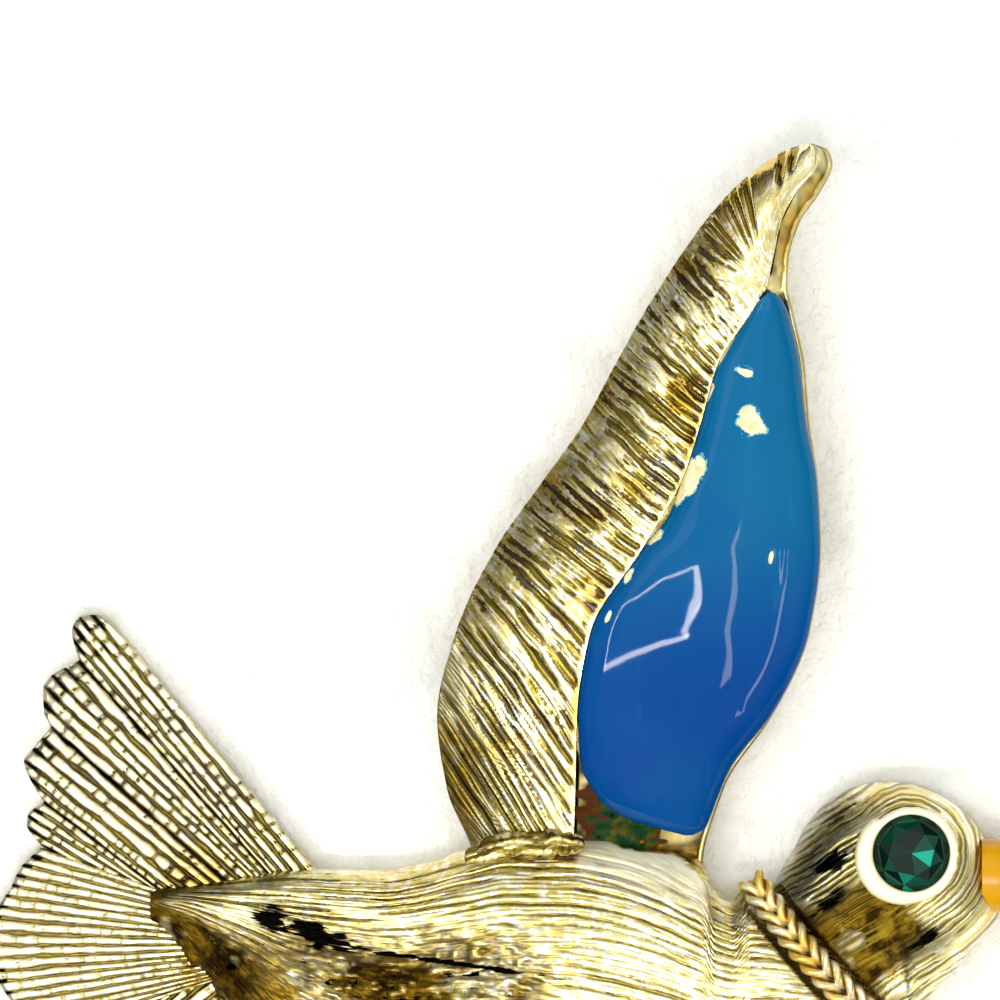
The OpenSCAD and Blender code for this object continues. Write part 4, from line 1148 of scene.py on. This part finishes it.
def green_stone():
    r = recipe("green_stone", 0x011A12)
    # Painted reflections: greener and brighter where the flash mark says
    flash = r.mark("flash")
    r.paint(0x03402E, r.span(flash, 0.1, 0.5))
    r.paint(0x05A083, r.span(flash, 0.6, 1.0))
    return r.coat(Roughness=0.04, Specular_IOR_Level=0.3)


def pin_steel():
    r = recipe("pin_steel", 0xB9B6AE)
    grain = r.noise(1500, 4)
    r.paint(0x8C877C, r.span(grain, 0.35, 0.7))
    r.bump(grain, 0.3, 0.00005)
    return r.coat(Roughness=r.span(grain, 0.3, 0.7, 0.25, 0.42), Metallic=1.0)


def paper():
    r = recipe("pale_floor", 0xFAFAF7)
    r.paint(0xE9EAE6, r.span(r.noise(160), 0.45, 0.65))
    r.bump(r.noise(1500), 0.8, 0.0004)
    return r.coat(Roughness=0.85)


# Floor, light and camera

def make_floor(material):
    mesh = bpy.data.meshes.new("floor")
    corners = [(FLOOR_REACH * x, FLOOR_REACH * y, 0) for x, y in ((-1, -1), (1, -1), (1, 1), (-1, 1))]
    mesh.from_pydata(corners, [], [(0, 1, 2, 3)])
    mesh.materials.append(material)
    floor = add_object("floor", mesh)


def softbox(name, start, end, width, power):
    """Long lamp between two points, turned towards the brooch."""
    lamp = bpy.data.lights.new(name, "AREA")
    lamp.shape = "RECTANGLE"
    lamp.size, lamp.size_y = math.dist(start, end), width
    lamp.energy = power
    middle = (Vector(start) + Vector(end)) / 2
    back = middle.normalized()
    along = Vector(end) - Vector(start)
    along = (along - along.dot(back) * back).normalized()
    turn = Matrix((along, back.cross(along), back)).transposed()
    add_object(name, lamp).matrix_world = Matrix.Translation(middle) @ turn.to_4x4()


def make_world():
    """Pale tent: bright all round above, dark near the horizon and darker on the left."""
    r = Recipe(bpy.data.worlds.new("room"), 0, "Background", "Generated")
    split = r.node("ShaderNodeSeparateXYZ", {0: r.where})
    ramp = r.node("ShaderNodeValToRGB", {0: split.outputs["Z"]})
    stops = ramp.color_ramp.elements
    for at, _ in SKY[1:-1]:
        stops.new(at)
    for stop, (_, level) in zip(stops, SKY):
        stop.color = (level, level, level * 0.97, 1)
    side = r.span(split.outputs["X"], -0.75, -0.05, 0.6, 1.0, "LINEAR")
    vary = r.span(r.noise(2.2, 2.0, None, 0.5), 0.42, 0.58, 0.7, 1.15, "LINEAR")
    bpy.context.scene.world = r.set(Color=ramp.outputs[0], Strength=r.times(side, vary))


def make_camera():
    camera = add_object("camera", bpy.data.cameras.new("camera"))
    camera.data.sensor_width = SENSOR_W
    camera.data.lens = SENSOR_W * VIEW_FROM / VIEW_WIDTH
    camera.location = Vector(VIEW_MID) + Vector((0, 0, VIEW_FROM))
    bpy.context.scene.camera = camera


def make_all():
    gold = gold_casting()
    for make in (make_body, make_lip, make_tail, make_wing, make_head, make_bezel):
        make(gold)
    make_enamel(blue_enamel())
    make_stone(green_stone())
    make_beak(yellow_enamel())
    make_collar(wire_gold())
    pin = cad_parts["pin_back"]
    pin.data.materials.clear()
    pin.data.materials.append(pin_steel())
    make_floor(paper())
    for name, lamp in LAMPS.items():
        softbox(name, *lamp)
    make_world()
    make_camera()
    bpy.context.scene.view_settings.view_transform = "Standard"


make_all()
